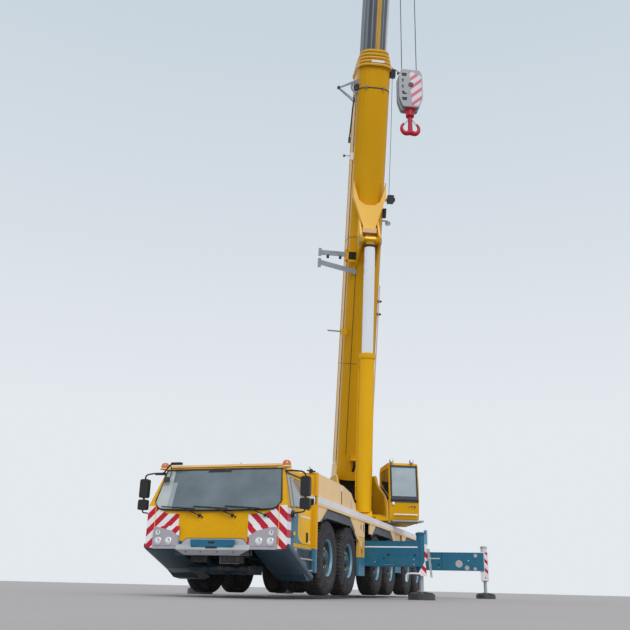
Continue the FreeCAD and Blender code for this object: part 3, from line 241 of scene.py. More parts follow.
def make_paints():
    """Every finish on the crane, several of them with painted light and shade in their colour."""
    paint("yellow", YELLOW, rough=0.38, shine=0.05, dust=0.03, grain=0.03)
    # A darker copy of the yellow for the turntable: painted shade.
    paint("shaded platform paint", (206, 160, 0), rough=0.4, shine=0.06, dust=0.05, place=SLEW)
    # The yellow lightened as painted sky glare.
    paint("glare yellow", SKY_GLARE_YELLOW, rough=0.42, shine=0.2, dust=0.08)
    # A brighter copy of the yellow for the cylinder barrel: painted light where it faces the sun.
    paint("sunlit barrel paint", (240, 182, 2), rough=0.36, shine=0.08, grain=0.03, dust=0.04, place=CYLINDER, stretch=(1, 1, 0.3))
    paint("teal", TEAL, rough=0.42, shine=0.25, dust=0.12, zones=[
        ((-4, 6, 0.2), (4, 7.5, 1.7), (44, 114, 144)), ((-4, -1.86, 1.203), (2.80, -1.80, 1.233), WHITE),
        ((1.2, 6.8, 1.275), (2.07, 6.88, 1.305), WHITE), ((2.135, 6.4, 0.9), (2.150, 7.3, 1.51), (20, 66, 88)),
        ((3.40, 6.8, 1.50), (3.76, 7.3, 1.8), (208, 208, 212))])
    # The teal lightened as painted sky reflection.
    paint("sheen teal", SHEEN_TEAL, rough=0.42, shine=0.3, dust=0.12)
    # Dark frame teal, darkened further as painted shade under the bumper.
    paint("frame teal", (18, 46, 60), rough=0.5, dust=0.3, shine=0.3)
    paint("hull teal", (28, 66, 84), rough=0.34, dust=0.12, shine=0.4, coat=0.15, zones=[
        ((-1.42, -6.80, 0.30), (-0.7, -6.1, 0.56), (126, 130, 136))])
    paint("light teal", (112, 158, 178), rough=0.4)
    # The deck's pale band along its sides is painted sky glare.
    paint("deck", (232, 232, 238), rough=0.45, metal=0.1, grain=0.3, scale=0.5, dust=0.15, zones=[
        ((-1.6, -6.2, 1.7), (1.6, 7.6, 1.862), SKY_GLARE_YELLOW)])
    paint("rubber", (100, 104, 112), rough=0.8, grain=0.5, dust=0.16, stretch=(1, 6, 1), cloud=0.22)
    paint("tyre", (54, 54, 58), rough=0.82, grain=0.5, dust=0.14, cloud=0.18, shine=0.3)
    # Lit and shaded copies of one rim teal: painted highlight on the flange, painted shade in the well and on the disc,
    # deeper painted shade on the hub.
    paint("rim teal highlight", (108, 158, 184), rough=0.34, coat=0.2, dust=0.15)
    paint("rim teal in shade", (44, 82, 104), rough=0.4, dust=0.18)
    paint("rim teal in deep shade", (30, 64, 80), rough=0.45, dust=0.2)
    paint("nut", (206, 200, 96), rough=0.45, grain=0.05, scale=0.2)
    paint("black", (24, 25, 27), rough=0.5, grain=0.1, scale=0.4, dust=0.1)
    # Dark machinery, darkened further as painted shade under the bumper.
    paint("machine", (24, 25, 27), rough=0.6, grain=0.5, scale=0.6, dust=0.2)
    paint("pad", (70, 73, 78), rough=0.7, grain=0.5, scale=0.5, dust=0.12, cloud=0.2)
    paint("lip grey", (128, 130, 136), rough=0.5, grain=0.2, dust=0.12)
    paint("trim", (52, 55, 60), rough=0.6, grain=0.3, scale=0.4, dust=0.12)
    paint("steel", (120, 124, 128), rough=0.38, metal=0.7, scale=0.4)
    paint("dark steel", (60, 64, 68), rough=0.5, metal=0.3, scale=0.5)
    paint("silver", (186, 190, 194), rough=0.36, metal=0.35, scale=0.5, dust=0.12)
    paint("chrome", (232, 236, 242), rough=0.2, metal=0.5, dust=0.03, cloud=0.05)
    paint("rod chrome", (232, 236, 242), rough=0.2, metal=0.5, dust=0.03, cloud=0.05, stretch=(6, 6, 0.4), place=CYLINDER,
          zones=[((-1, -1, 8.60), (1, 1, 9.6), (196, 146, 20))])
    paint("leg steel", (176, 180, 186), rough=0.36, metal=0.35, scale=0.4, dust=0.12, zones=[
        ((-5, -9, -0.1), (5, 9, 0.135), (70, 73, 78))])
    # Painted shade for the gaps between the boom's collars and painted highlight for their ridges.
    paint("collar shade", (104, 70, 8), rough=0.5, shine=0.1, dust=0.03)
    paint("collar highlight", (240, 192, 92), rough=0.4, shine=0.2, dust=0.03)
    paint("cable grey", (206, 198, 196), rough=0.5)
    paint("grey", GREY, rough=0.45, dust=0.14)
    paint("lamp grey", (172, 168, 176), rough=0.4, dust=0.08, shine=0.4)
    paint("white", WHITE, rough=0.45, dust=0.12)
    paint("red", (184, 16, 52), rough=0.4, dust=0.08, shine=0.3)
    paint("hook red", (190, 30, 62), rough=0.4, dust=0.08, shine=0.3)
    paint("orange lens", (206, 112, 40), rough=0.14, coat=0.6, dust=0.05, grain=0.4, scale=0.2)
    paint("red lens", (176, 24, 26), rough=0.14, coat=0.6, dust=0.05, grain=0.4, scale=0.2)
    paint("clear lens", (232, 234, 238), rough=0.08, metal=0.2, coat=0.8, dust=0.03, grain=0.3, scale=0.15)
    paint("rope", (112, 112, 112), rough=0.5, metal=0.5, stripes=((66, 66, 68), 0.03, (6, 6, 1), 0.4), grain=0.4)
    paint("hose", (30, 31, 33), rough=0.55, grain=0.5, scale=0.15)
    paint("chevron left", RED, stripes=(WHITE, 0.30, (-1, 0, 1.05), 0.5), rough=0.34, shine=0.3, dust=0.06)
    paint("chevron right", RED, stripes=(WHITE, 0.30, (1, 0, 1.05), 0.5), rough=0.34, shine=0.3, dust=0.06)
    paint("hazard", RED, stripes=(WHITE, 0.34, (1, 0, 1), 0.62), rough=0.4, dust=0.08, shine=0.3)
    paint("arm grey", (158, 166, 174), rough=0.42, metal=0.2, scale=0.4, dust=0.1, cloud=0.2)
    paint("jack stripes", (238, 238, 242), stripes=(RED, 0.30, (1, 0, 1), 0.40), rough=0.4, dust=0.08, shine=0.3)
    paint("disc grey", (190, 184, 190), rough=0.5, dust=0.15)
    paint("hook stripes", (196, 200, 206), stripes=((200, 70, 100), 0.27, (-1, 0, 1.0), 0.42), place=HOOK, rough=0.4, dust=0.1)
    paint("pane", (136, 150, 158), rough=0.05, coat=0.4, alpha=0.72, dust=0.04, cloud=0.22, grain=0.02, scale=0.5)
    # The screen's zones at its right end paint the light of the bright side window seen through the glass.
    paint("screen", (116, 130, 138), rough=0.05, coat=0.4, alpha=0.8, dust=0.04, cloud=0.25, grain=0.02, scale=0.5, zones=[
        ((-1.4, -8, 1.3), (-0.92, -7, 2.10), (176, 190, 194)), ((-1.4, -8, 1.3), (-1.02, -7, 2.34), (206, 216, 216))])
    # Paler glass for the operator's cab front: painted sky reflection.
    paint("sky reflecting pane", (186, 200, 208), rough=0.05, coat=0.4, alpha=0.72, dust=0.04, cloud=0.2, grain=0.02, scale=0.5)
    paint("side glass", (124, 140, 150), rough=0.05, coat=0.5, dust=0.04, cloud=0.14, grain=0.02)
    paint("visor", (50, 58, 66), rough=0.06, coat=0.5, alpha=0.95, dust=0.05, grain=0.02)
    paint("mesh grey", (74, 78, 84), rough=0.5, metal=0.4, stripes=((34, 36, 40), 0.045, (1, 1, 0), 0.45))
    paint("seat", (58, 62, 70), rough=0.9, grain=0.7, scale=0.2, dust=0.05)
    # The side zone is the teal with painted sky reflection.
    side = [((-1.6, -7.46, 0.9), (1.6, -7.30, 1.56), SHEEN_TEAL)]
    front = [((-1.6, -7.80, 0.9), (-0.66, -7.60, 1.0), TEAL), ((0.66, -7.80, 0.9), (1.6, -7.60, 1.0), TEAL)]
    paint("cab yellow", YELLOW, rough=0.34, shine=0.05, dust=0.03, grain=0.02, zones=side + front)
    # A brighter copy of the yellow for the doors and strips on the cab front: painted light.
    paint("sunlit door paint", (248, 190, 10), rough=0.36, shine=0.08, dust=0.03, grain=0.02)
    # The side panels' pale base is painted sky glare, and their lighter teal zones are painted sky reflection.
    paint("panel yellow", SKY_GLARE_YELLOW, rough=0.4, shine=0.2, dust=0.08, zones=[
        ((-1.6, -9, 0.2), (1.6, -5.9, 0.96), SHEEN_TEAL), ((-1.425, -9, 0.2), (1.425, -6.2, 0.965), (28, 66, 84)),
        ((-1.6, -9, 0.965), (1.6, -5.9, 2.6), YELLOW),
        ((-1.6, -3, 0.94), (1.6, -1.5, 1.42), (238, 184, 76)), ((-1.6, -3, 0.2), (1.6, -1.5, 0.94), SHEEN_TEAL),
        ((-1.6, 2, 0.2), (1.6, 9, 1.2), SHEEN_TEAL)])
    # The engine covers' pale base is painted sky glare. The front strip keeps the plain yellow.
    paint("cover yellow", SKY_GLARE_YELLOW, rough=0.4, shine=0.2, dust=0.08, zones=[
        ((-1.6, -6.2, 1.7), (1.6, -6.085, 2.6), YELLOW)])
    # A darker copy of the yellow for the boom: painted shade on its belly. Its zones paint a highlight on the bracket
    # below the belly and sky glare on both flanks.
    paint("boom paint in light and shade", (216, 160, 0), rough=0.34, shine=0.05, dust=0.02, grain=0.02, place=BOOM, stretch=(1, 1, 0.25), streak=0.02, zones=[
        ((-0.8, -1.75, 8.45), (0.8, -1.04, 10.6), (246, 196, 96)), ((-0.62, -1.0, 0), (-0.535, 0.6, 15), SKY_GLARE_YELLOW),
        ((0.535, -1.0, 0), (0.62, 0.6, 15), SKY_GLARE_YELLOW)])
    # The tip's zones from x 0.26 outward paint a highlight on its right flank, lit by the sky.
    paint("tip grey", (138, 148, 158), rough=0.42, place=BOOM, dust=0.1, shine=0.3, lines=((84, 88, 96), 14, 0.42, 0.56),
          zones=[((-0.06, -3, 10), (0.13, -0.5, 28), (206, 162, 66)), ((0.26, -3, 10), (0.34, 1, 28), (176, 182, 194)), ((0.34, -3, 10), (1, 1, 28), (240, 242, 246))])
    paint("counterweight", YELLOW, rough=0.4, shine=0.2, dust=0.08, place=SLEW)


# Finishes with painted light and shade: the platform, barrel, door, boom, panel and cover yellows, the rim teals, and
# the frame teal under the bumper.
NODE_PAINTS = {
    "chassis_frame": "frame teal", "axle_beams": "frame teal", "carrier_cab": "cab yellow", "cab_glass": "pane",
    "cab_interior": "seat", "front_bumper": "lamp grey", "side_panels": "panel yellow", "arch_skirts": "rubber",
    "deck": "deck", "engine": "dark steel", "engine_covers": "cover yellow", "cab_door_left": "sunlit door paint",
    "cab_door_right": "sunlit door paint", "slewing_platform": "shaded platform paint", "counterweight": "counterweight",
    "hoist_winch": "dark steel", "operator_cab": "yellow", "boom_base": "boom paint in light and shade", "boom_tip": "tip grey",
    "head_sheaves": "steel", "hoist_rope": "rope", "hook_block": "grey", "luffing_barrel": "sunlit barrel paint",
    "luffing_rod": "rod chrome",
}
PREFIX_PAINTS = {"tyre_": "tyre", "rim_": "rim teal in deep shade", "knuckle_": "frame teal", "outrigger_": "teal", "jack_leg": "leg steel"}


def paint_nodes():
    """Give every CAD node its finish."""
    for name, node in NODES.items():
        finish = NODE_PAINTS.get(name) or next(v for k, v in PREFIX_PAINTS.items() if name.startswith(k))
        for slot in node.material_slots:
            slot.material = PAINTS[finish]


# ---------------------------------------------------------------- mesh pieces

PLANE = {
    "side": lambda p, h: (h, p[0], p[1]),
    "front": lambda p, h: (p[0], h, p[1]),
    "top": lambda p, h: (p[0], p[1], h),
}


def rounded(points, radius, steps=4):
    """A 2D outline with its corners rounded."""
    result = []
    count = len(points)
    for i, corner in enumerate(points):
        here = Vector(corner)
        to_last, to_next = Vector(points[i - 1]) - here, Vector(points[(i + 1) % count]) - here
        reach = min(radius, to_last.length * 0.45, to_next.length * 0.45)
        a, b = here + to_last.normalized() * reach, here + to_next.normalized() * reach
        for step in range(steps + 1):
            t = step / steps
            result.append(tuple(a * (1 - t) ** 2 + here * 2 * t * (1 - t) + b * t ** 2))
    return result


def smooth_path(points, steps=6):
    """Points on a smooth curve through the given ones."""
    points = [Vector(p) for p in points]
    padded = [points[0] * 2 - points[1]] + points + [points[-1] * 2 - points[-2]]
    path = []
    for p0, p1, p2, p3 in zip(padded, padded[1:], padded[2:], padded[3:]):
        for step in range(steps):
            t = step / steps
            path.append(0.5 * (2 * p1 + (p2 - p0) * t + (2 * p0 - 5 * p1 + 4 * p2 - p3) * t ** 2
                               + (3 * p1 - p0 - 3 * p2 + p3) * t ** 3))
    return path + [points[-1]]


class Piece:
    """Gathers solids into one mesh object. Every face keeps its finish."""

    def __init__(self, name, body, place=ROW):
        self.name, self.body, self.place = name, body, place
        self.verts, self.faces, self.marks, self.paints = [], [], [], []
        self.local = ROW

    def put(self, verts, faces, finish):
        start = len(self.verts)
        self.verts += [self.local @ Vector(v) for v in verts]
        self.faces += [[start + i for i in face] for face in faces]
        if finish not in self.paints:
            self.paints.append(finish)
        self.marks += [self.paints.index(finish)] * len(faces)

    def box(self, x, y, z, finish):
        corners = [(a, b, c) for a in x for b in y for c in z]
        self.put(corners, [(0, 1, 3, 2), (4, 6, 7, 5), (0, 4, 5, 1), (2, 3, 7, 6), (0, 2, 6, 4), (1, 5, 7, 3)], finish)

    def prism(self, plane, points, low, high, finish):
        count = len(points)
        verts = [PLANE[plane](p, h) for h in (low, high) for p in points]
        faces = [tuple(range(count)), tuple(range(count, 2 * count))]
        faces += [(i, (i + 1) % count, count + (i + 1) % count, count + i) for i in range(count)]
        self.put(verts, faces, finish)

    def lathe(self, profile, centre, axis, finish, sides=24, closed=False, caps=True):
        """profile is (radius, distance along the axis)."""
        axis = Vector(axis).normalized()
        across = axis.orthogonal().normalized()
        other = axis.cross(across)
        verts, rings = [], []
        for radius, along in profile:
            middle = Vector(centre) + axis * along
            if radius < 1e-6:
                rings.append([len(verts)] * sides)
                verts.append(middle)
                continue
            rings.append(list(range(len(verts), len(verts) + sides)))
            for k in range(sides):
                angle = 2 * math.pi * k / sides
                verts.append(middle + (across * math.cos(angle) + other * math.sin(angle)) * radius)
        faces = []
        pairs = list(zip(rings, rings[1:] + rings[:1])) if closed else list(zip(rings, rings[1:]))
        for low, high in pairs:
            for k in range(sides):
                face = []
                for index in (low[k], low[(k + 1) % sides], high[(k + 1) % sides], high[k]):
                    if index not in face:
                        face.append(index)
                if len(face) > 2:
                    faces.append(tuple(face))
        if caps and not closed:
            faces += [tuple(ring) for ring in (rings[0], rings[-1]) if ring[0] != ring[1]]
        self.put(verts, faces, finish)

    def rod(self, start, end, radius, finish, sides=16):
        axis = Vector(end) - Vector(start)
        self.lathe([(radius, 0), (radius, axis.length)], start, axis, finish, sides)

    def tube(self, points, radius, finish, sides=8):
        points = [Vector(p) for p in points]
        across = (points[1] - points[0]).orthogonal().normalized()
        verts, faces = [], []
        for i, point in enumerate(points):
            ahead = (points[min(i + 1, len(points) - 1)] - points[max(i - 1, 0)]).normalized()
            across = (across - ahead * across.dot(ahead)).normalized()
            other = ahead.cross(across)
            size = radius[i] if isinstance(radius, (list, tuple)) else radius
            for k in range(sides):
                angle = 2 * math.pi * k / sides
                verts.append(point + (across * math.cos(angle) + other * math.sin(angle)) * size)
        for i in range(len(points) - 1):
            for k in range(sides):
                a, b = i * sides + k, i * sides + (k + 1) % sides
                faces.append((a, b, b + sides, a + sides))
        faces += [tuple(range(sides)), tuple(range(len(verts) - sides, len(verts)))]
        self.put(verts, faces, finish)

    def bar(self, start, end, wide, tall, finish, up=(0, 0, 1)):
        """A straight bar of rectangular section."""
        start, end = Vector(start), Vector(end)
        ahead = (end - start).normalized()
        side = ahead.cross(Vector(up))
        side = (side if side.length > 1e-6 else ahead.orthogonal()).normalized()
        top = side.cross(ahead)
        verts = [p + side * a * wide / 2 + top * b * tall / 2 for p in (start, end)
                 for a, b in ((-1, -1), (1, -1), (1, 1), (-1, 1))]
        faces = [(0, 1, 2, 3), (4, 5, 6, 7)] + [(k, (k + 1) % 4, 4 + (k + 1) % 4, 4 + k) for k in range(4)]
        self.put(verts, faces, finish)

    def mesh(self):
        data = bpy.data.meshes.new(self.name)
        data.from_pydata([tuple(v) for v in self.verts], [], self.faces)
        for finish in self.paints:
            data.materials.append(PAINTS[finish])
        data.polygons.foreach_set("material_index", self.marks)
        tool = bmesh.new()
        tool.from_mesh(data)
        bmesh.ops.recalc_face_normals(tool, faces=tool.faces)
        tool.to_mesh(data)
        tool.free()
        data.shade_smooth()
        data.set_sharp_from_angle(angle=math.radians(38))
        return data

    def done(self, bevel=0.004, segments=2, replaces=()):
        piece = place_mesh(self.name, self.mesh(), self.body, self.place)
        if bevel:
            modifier = piece.modifiers.new("bevel", "BEVEL")
            modifier.width, modifier.segments = bevel, segments
            modifier.limit_method, modifier.angle_limit = "ANGLE", math.radians(38)
            modifier.harden_normals = True
        if replaces:
            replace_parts(piece, *replaces)
        return piece


def place_mesh(name, data, body, matrix):
    """A mesh object in place, riding on a body."""
    piece = bpy.data.objects.new(name, data)
    bpy.context.scene.collection.objects.link(piece)
    piece.matrix_world = matrix
    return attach(piece, body)


def ring_of(count, radius, start=0.0):
    """Angles and points round a circle."""
    for k in range(count):
        angle = start + 2 * math.pi * k / count
        yield angle, radius * math.cos(angle), radius * math.sin(angle)


# ---------------------------------------------------------------- wheels


def tyre_mesh():
    """Tyre with shoulder lugs and two rows of centre blocks, its axis along +X."""
    piece = Piece("tyre", None)
    half = [(0.356, 0.168), (0.372, 0.197), (0.395, 0.203), (0.405, 0.199), (0.470, 0.214), (0.500, 0.220),
            (0.508, 0.2225), (0.516, 0.220), (0.600, 0.2195), (0.650, 0.212), (0.690, 0.198), (0.716, 0.176),
            (0.724, 0.12), (0.726, 0.0)]
    profile = [(r, -a) for r, a in half] + [(r, a) for r, a in reversed(half[:-1])]
    piece.lathe(profile, (0, 0, 0), (1, 0, 0), "tyre", sides=80, closed=True)
    count = 56
    pitch = 2 * math.pi / count
    shoulder = [(0.092, 0.7465), (0.165, 0.7440), (0.196, 0.7180), (0.210, 0.680), (0.2205, 0.640)]
    centre = [(0.010, 0.7465), (0.080, 0.7465)]
    rows = [(shoulder, 1, 0.0, 0.30), (shoulder, -1, 0.5, 0.30), (centre, 1, 0.25, 0.36), (centre, -1, 0.75, 0.36)]
    for row, sign, shift, half_wide in rows:
        for k in range(count):
            verts, faces = [], []
            for j, (along, top) in enumerate(row):
                skew = along * 2.2 * pitch * sign
                floor = top - 0.030 if along < 0.19 else top - 0.016
                for angle, radius in ((-half_wide, floor), (-half_wide, top), (half_wide, top), (half_wide, floor)):
                    a = (k + shift + angle) * pitch + skew
                    verts.append((along * sign, radius * math.cos(a), radius * math.sin(a)))
                if j:
                    b = 4 * j
                    faces += [(b - 4 + n, b - 3 + n, b + 1 + n, b + n) for n in range(3)]
            faces += [(0, 1, 2, 3), tuple(range(len(verts) - 4, len(verts)))]
            piece.put(verts, faces, "tyre")
    return piece.mesh()


def rim_mesh():
    """Rim with its flange, pierced disc, nuts and hub, its axis along +X, outside at +X."""
    piece = Piece("rim", None)
    flange = [(0.340, -0.188), (0.376, -0.190), (0.378, -0.176), (0.358, -0.168), (0.357, 0.168), (0.378, 0.178),
              (0.378, 0.192), (0.366, 0.196), (0.350, 0.186), (0.338, 0.150), (0.334, 0.070), (0.312, 0.030),
              (0.312, 0.010), (0.326, -0.02)]
    # The flange alternates a painted highlight on its lip and ridge with painted shade between them. The disc and hub
    # are in deeper painted shade.
    piece.lathe(flange[3:10], (0, 0, 0), (1, 0, 0), "rim teal highlight", sides=64, caps=False)
    piece.lathe(flange[9:12], (0, 0, 0), (1, 0, 0), "rim teal in shade", sides=64, caps=False)
    piece.lathe(flange[11:13], (0, 0, 0), (1, 0, 0), "rim teal highlight", sides=64, caps=False)
    piece.lathe(flange[12:] + flange[:4], (0, 0, 0), (1, 0, 0), "rim teal in shade", sides=64, caps=False)
    sides, holes = 60, 10
    radii = [(0.312, 0.024), (0.292, 0.034), (0.238, 0.052), (0.205, 0.058), (0.165, 0.058)]
    verts = [(along, r * math.cos(2 * math.pi * k / sides), r * math.sin(2 * math.pi * k / sides))
             for r, along in radii for k in range(sides)]
    faces = []
    for j in range(len(radii) - 1):
        for k in range(sides):
            if j == 1 and k % (sides // holes) in (2, 3):
                continue
            a, b = j * sides + k, j * sides + (k + 1) % sides
            faces.append((a, b, b + sides, a + sides))
    piece.put(verts, faces, "rim teal in shade")
    piece.lathe([(0.168, 0.02), (0.168, 0.105), (0.160, 0.118), (0.138, 0.122), (0.132, 0.165), (0.120, 0.178),
                 (0.070, 0.182), (0.064, 0.196), (0.0, 0.199)], (0, 0, 0), (1, 0, 0), "rim teal in deep shade", sides=40)
    piece.lathe([(0.0, -0.11), (0.160, -0.11), (0.160, 0.03), (0.0, 0.03)], (0, 0, 0), (1, 0, 0), "dark steel", sides=32)
    for angle, y, z in ring_of(10, 0.190):
        piece.lathe([(0.028, 0.055), (0.028, 0.070), (0.022, 0.072), (0.022, 0.124), (0.0, 0.126)], (0, y, z),
                    (1, 0, 0), "nut", sides=6)
    for angle, y, z in ring_of(12, 0.148, 0.1):
        piece.lathe([(0.011, 0.116), (0.011, 0.132), (0.0, 0.134)], (0, y, z), (1, 0, 0), "steel", sides=6)
    for angle, y, z in ring_of(8, 0.096, 0.2):
        piece.lathe([(0.009, 0.178), (0.009, 0.190), (0.0, 0.191)], (0, y, z), (1, 0, 0), "steel", sides=6)
    piece.tube([(0.03, 0.27, 0.05), (0.07, 0.29, 0.06), (0.11, 0.318, 0.065)], 0.008, "steel", sides=6)
    return piece.mesh()


def make_wheels():
    """Twelve wheels that share two meshes; the right ones face the other way."""
    tyre, rim = tyre_mesh(), rim_mesh()
    for number, y in AXLE_Y.items():
        for side, sign in SIDES.items():
            place = Matrix.Translation((sign * WHEEL_X, y, WHEEL_Z)) @ turn("X", 11 * number)
            if sign < 0:
                place = place @ turn("Z", 180)
            body = f"wheel_{number}_{side}"
            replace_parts(place_mesh(f"treaded_tyre_{number}_{side}", tyre, body, place), f"tyre_{number}_{side}")
            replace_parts(place_mesh(f"wheel_rim_{number}_{side}", rim, body, place), f"rim_{number}_{side}")


# ---------------------------------------------------------------- carrier cab

CAB_FRONT, CAB_WAIST, CAB_TOP = -7.685, 1.64, 2.45
SCREEN_SLOPE = 0.27 / 0.74


def cab_face(z):
    """Y of the cab's front at a height."""
    return CAB_FRONT + max(0.0, z - CAB_WAIST) * SCREEN_SLOPE


def cab_side(z):
    """Half width of the cab at a height."""
    return 1.43 - max(0.0, z - CAB_WAIST) * 0.195 / 0.72


def make_windscreen():
    """Curved windscreen with its black border and shade band."""
    piece = Piece("windscreen", "chassis")
    across = [-1, -0.992, -0.98, -0.955, -0.92, -0.88, -0.84] + [-0.75 + 0.1 * k for k in range(16)]
    across += [0.84, 0.88, 0.92, 0.955, 0.98, 0.992, 1]
    upward = [0, 0.035, 0.09] + [0.16 + 0.075 * k for k in range(10)] + [0.90, 0.95, 1]
    verts = []
    for v in upward:
        for u in across:
            corner, edge = max(0.0, abs(u) - 0.84) / 0.16, max(0.0, abs(u) - 0.96) / 0.04
            low = 1.532 + 0.035 * u * u + 0.17 * corner ** 2.6
            high = 2.372 - 0.035 * edge ** 2
            z = low + (high - low) * v
            x = u * (1.312 - 0.097 * v)
            verts.append((x, cab_face(z) - 0.014 - 0.022 * (1 - u * u), z))
    faces, wide = {"screen": [], "black": []}, len(across)
    for j in range(len(upward) - 1):
        for i in range(wide - 1):
            u, v = (across[i] + across[i + 1]) / 2, (upward[j] + upward[j + 1]) / 2
            border = abs(u) > 0.985 or v < 0.03 or v > 0.97
            finish = "black" if border or (abs(u + 0.02) < 0.2 and v > 0.90) else "screen"
            a = j * wide + i
            faces[finish].append((a, a + 1, a + 1 + wide, a + wide))
    start = len(piece.verts)
    piece.verts += [Vector(v) for v in verts]
    for finish, group in faces.items():
        piece.paints.append(finish)
        piece.faces += [[start + i for i in face] for face in group]
        piece.marks += [piece.paints.index(finish)] * len(group)
    made = piece.done(bevel=0, replaces=("cab_glass",))
    solid = made.modifiers.new("thickness", "SOLIDIFY")
    solid.thickness, solid.offset = 0.008, 0


def make_cab_front():
    """Chevrons, bumper recess with its flap, lamp housings, wipers and seams on the cab's front."""
    piece = Piece("cab_front_trim", "chassis")
    y = CAB_FRONT
    for sign, finish in ((1, "chevron right"), (-1, "chevron left")):
        low, high = (0.662, 1.428) if sign > 0 else (-1.428, -0.760)
        if sign > 0:
            outline = [(low, 0.865), (high, 0.865), (high, 1.64), (1.235, 1.64), (1.02, 1.50), (low, 1.48)]
        else:
            outline = [(low, 0.865), (high, 0.865), (high, 1.49), (-1.03, 1.50), (-1.235, 1.64), (low, 1.64)]
        piece.prism("front", outline, y - 0.005, y + 0.001, finish)
        piece.box(sorted((sign * 1.428, sign * 1.433)), (y - 0.005, y + 0.22), (0.94, 1.60), finish)
        # Strips in the brighter door paint: painted light.
        piece.box(sorted((sign * 1.262, sign * 1.274)), (y - 0.008, y), (0.86, 1.66), "sunlit door paint")
        over = [(0.70, 1.085), (0.765, 1.11), (0.86, 1.175), (1.17, 1.248), (1.17, 1.262), (0.70, 1.262)]
        piece.prism("front", [(sign * x, z) for x, z in over], y - 0.067, y - 0.058, finish)
    recess = [(-0.745, 0.912), (0.745, 0.912), (0.66, 0.945), (0.60, 1.015), (0.55, 1.040), (-0.55, 1.040), (-0.60, 1.015),
              (-0.66, 0.945)]
    piece.prism("front", recess, y - 0.010, y + 0.001, "silver")
    piece.prism("front", [(x * 1.012, z + 0.010) for x, z in recess], y - 0.006, y + 0.001, "black")
    piece.prism("front", rounded([(-0.43, 0.880), (0.43, 0.880), (0.45, 1.018), (-0.45, 1.018)], 0.03),
                y - 0.098, y - 0.060, "teal")
    piece.prism("front", rounded([(-0.075, 0.95), (0.055, 0.95), (0.055, 0.985), (-0.075, 0.985)], 0.01),
                y - 0.104, y - 0.090, "black")
    piece.prism("front", rounded([(-0.13, 0.862), (0.11, 0.862), (0.10, 0.895), (-0.12, 0.895)], 0.01),
                y - 0.106, y - 0.088, "black")
    for x in (-0.40, 0.32):
        piece.box((x, x + 0.08), (y - 0.102, y - 0.096), (0.898, 0.906), "black")
    piece.done(bevel=0.003)

    lamps = Piece("front_lamps", "chassis")
    for sign in (1, -1):
        outline = [(0.705, 0.905), (1.252, 0.905), (1.252, 1.248), (1.17, 1.248), (0.86, 1.175), (0.765, 1.11)]
        outline = [(sign * x, z) for x, z in outline]
        lamps.prism("front", rounded(outline if sign > 0 else outline[::-1], 0.035), y - 0.068, y - 0.003, "lamp grey")
        for x, z, radius, lens in ((1.150, 1.135, 0.050, "clear lens"), (1.135, 0.990, 0.072, "clear lens"),
                                   (0.915, 0.990, 0.072, "clear lens")):
            centre = (sign * x, y - 0.060, z)
            lamps.lathe([(radius + 0.012, 0), (radius + 0.012, 0.012), (radius + 0.004, 0.016), (radius, 0.010),
                         (0, 0.006)], centre, (0, -1, 0), "silver", sides=32)
            lamps.lathe([(radius, 0.008), (radius * 0.85, 0.020), (radius * 0.45, 0.027), (0, 0.029)], centre,
                        (0, -1, 0), lens, sides=32)
            glow = (sign * x + radius * 0.25, y - 0.075, z + radius * 0.30)
            lamps.lathe([(radius * 0.42, 0.0), (radius * 0.42, 0.012), (0, 0.015)], glow, (0, -1, 0),
                        "red lens" if radius < 0.06 else "silver", sides=20)
    lamps.done(bevel=0.004)

    bumper = Piece("bumper_trim", "chassis")
    top = [(-7.779, 0.80), (-7.779, 0.872), (-7.752, 0.922), (-7.66, 0.922), (-7.66, 0.80)]
    bumper.prism("side", top, -0.745, 0.745, "silver")
    bumper.prism("side", [(-7.781, 0.748), (-7.783, 0.838), (-7.66, 0.838), (-7.66, 0.748)], -0.72, 0.72, "lip grey")
    for sign in (1, -1):
        corner = [(sign * 0.56, 0.742), (sign * 0.745, 0.742), (sign * 0.745, 0.842)]
        bumper.prism("front", corner, -7.790, -7.66, "black")
    for x in (-0.52, -0.22, 0.12, 0.44):
        bumper.lathe([(0.014, 0), (0.014, 0.010), (0, 0.011)], (x, -7.783, 0.80), (0, -1, 0), "dark steel", sides=6)
    bumper.box((0.16, 0.62), (-7.73, -7.66), (0.605, 0.765), "black")
    for x in (0.20, 0.34, 0.48):
        bumper.prism("front", rounded([(x, 0.63), (x + 0.10, 0.63), (x + 0.10, 0.73), (x, 0.73)], 0.02), -7.745, -7.72, "machine")
    # Machinery and frame under the bumper, in paints darkened also as painted shade.
    for x in (-0.5, 0.1):
        bumper.box((x, x + 0.35), (-7.60, -7.45), (0.62, 0.74), "machine")
    bumper.rod((-0.62, -7.35, 0.52), (0.62, -7.35, 0.52), 0.045, "frame teal")
    bumper.box((-0.70, 0.70), (-7.05, -6.95), (0.42, 0.58), "frame teal")
    for x in (-0.35, 0.35):
        bumper.bar((x, -7.60, 0.80), (x * 0.6, -7.0, 0.52), 0.09, 0.07, "frame teal")
    bumper.done(bevel=0.004)

    wipers = Piece("wipers", "chassis")
    for x in (-0.33, 0.345, 1.0):
        z = 1.462
        wipers.lathe([(0.032, 0), (0.032, 0.03), (0.018, 0.045), (0, 0.048)], (x, y - 0.005, z), (0, -1, 0), "black")
        wipers.lathe([(0.018, 0), (0.018, 0.02), (0, 0.022)], (x + 0.055, y - 0.003, z - 0.03), (0, -1, 0), "black")
        tip = Vector((x - 0.30, y - 0.075, z + 0.115))
        wipers.bar((x, y - 0.045, z), tip, 0.028, 0.020, "black")
        wipers.bar(tip, (x - 0.46, y - 0.072, z + 0.150), 0.020, 0.014, "black")
        wipers.bar((x - 0.80, y - 0.055, z + 0.165), (x - 0.10, y - 0.058, z + 0.118), 0.020, 0.018, "black")
    wipers.done(bevel=0.003)


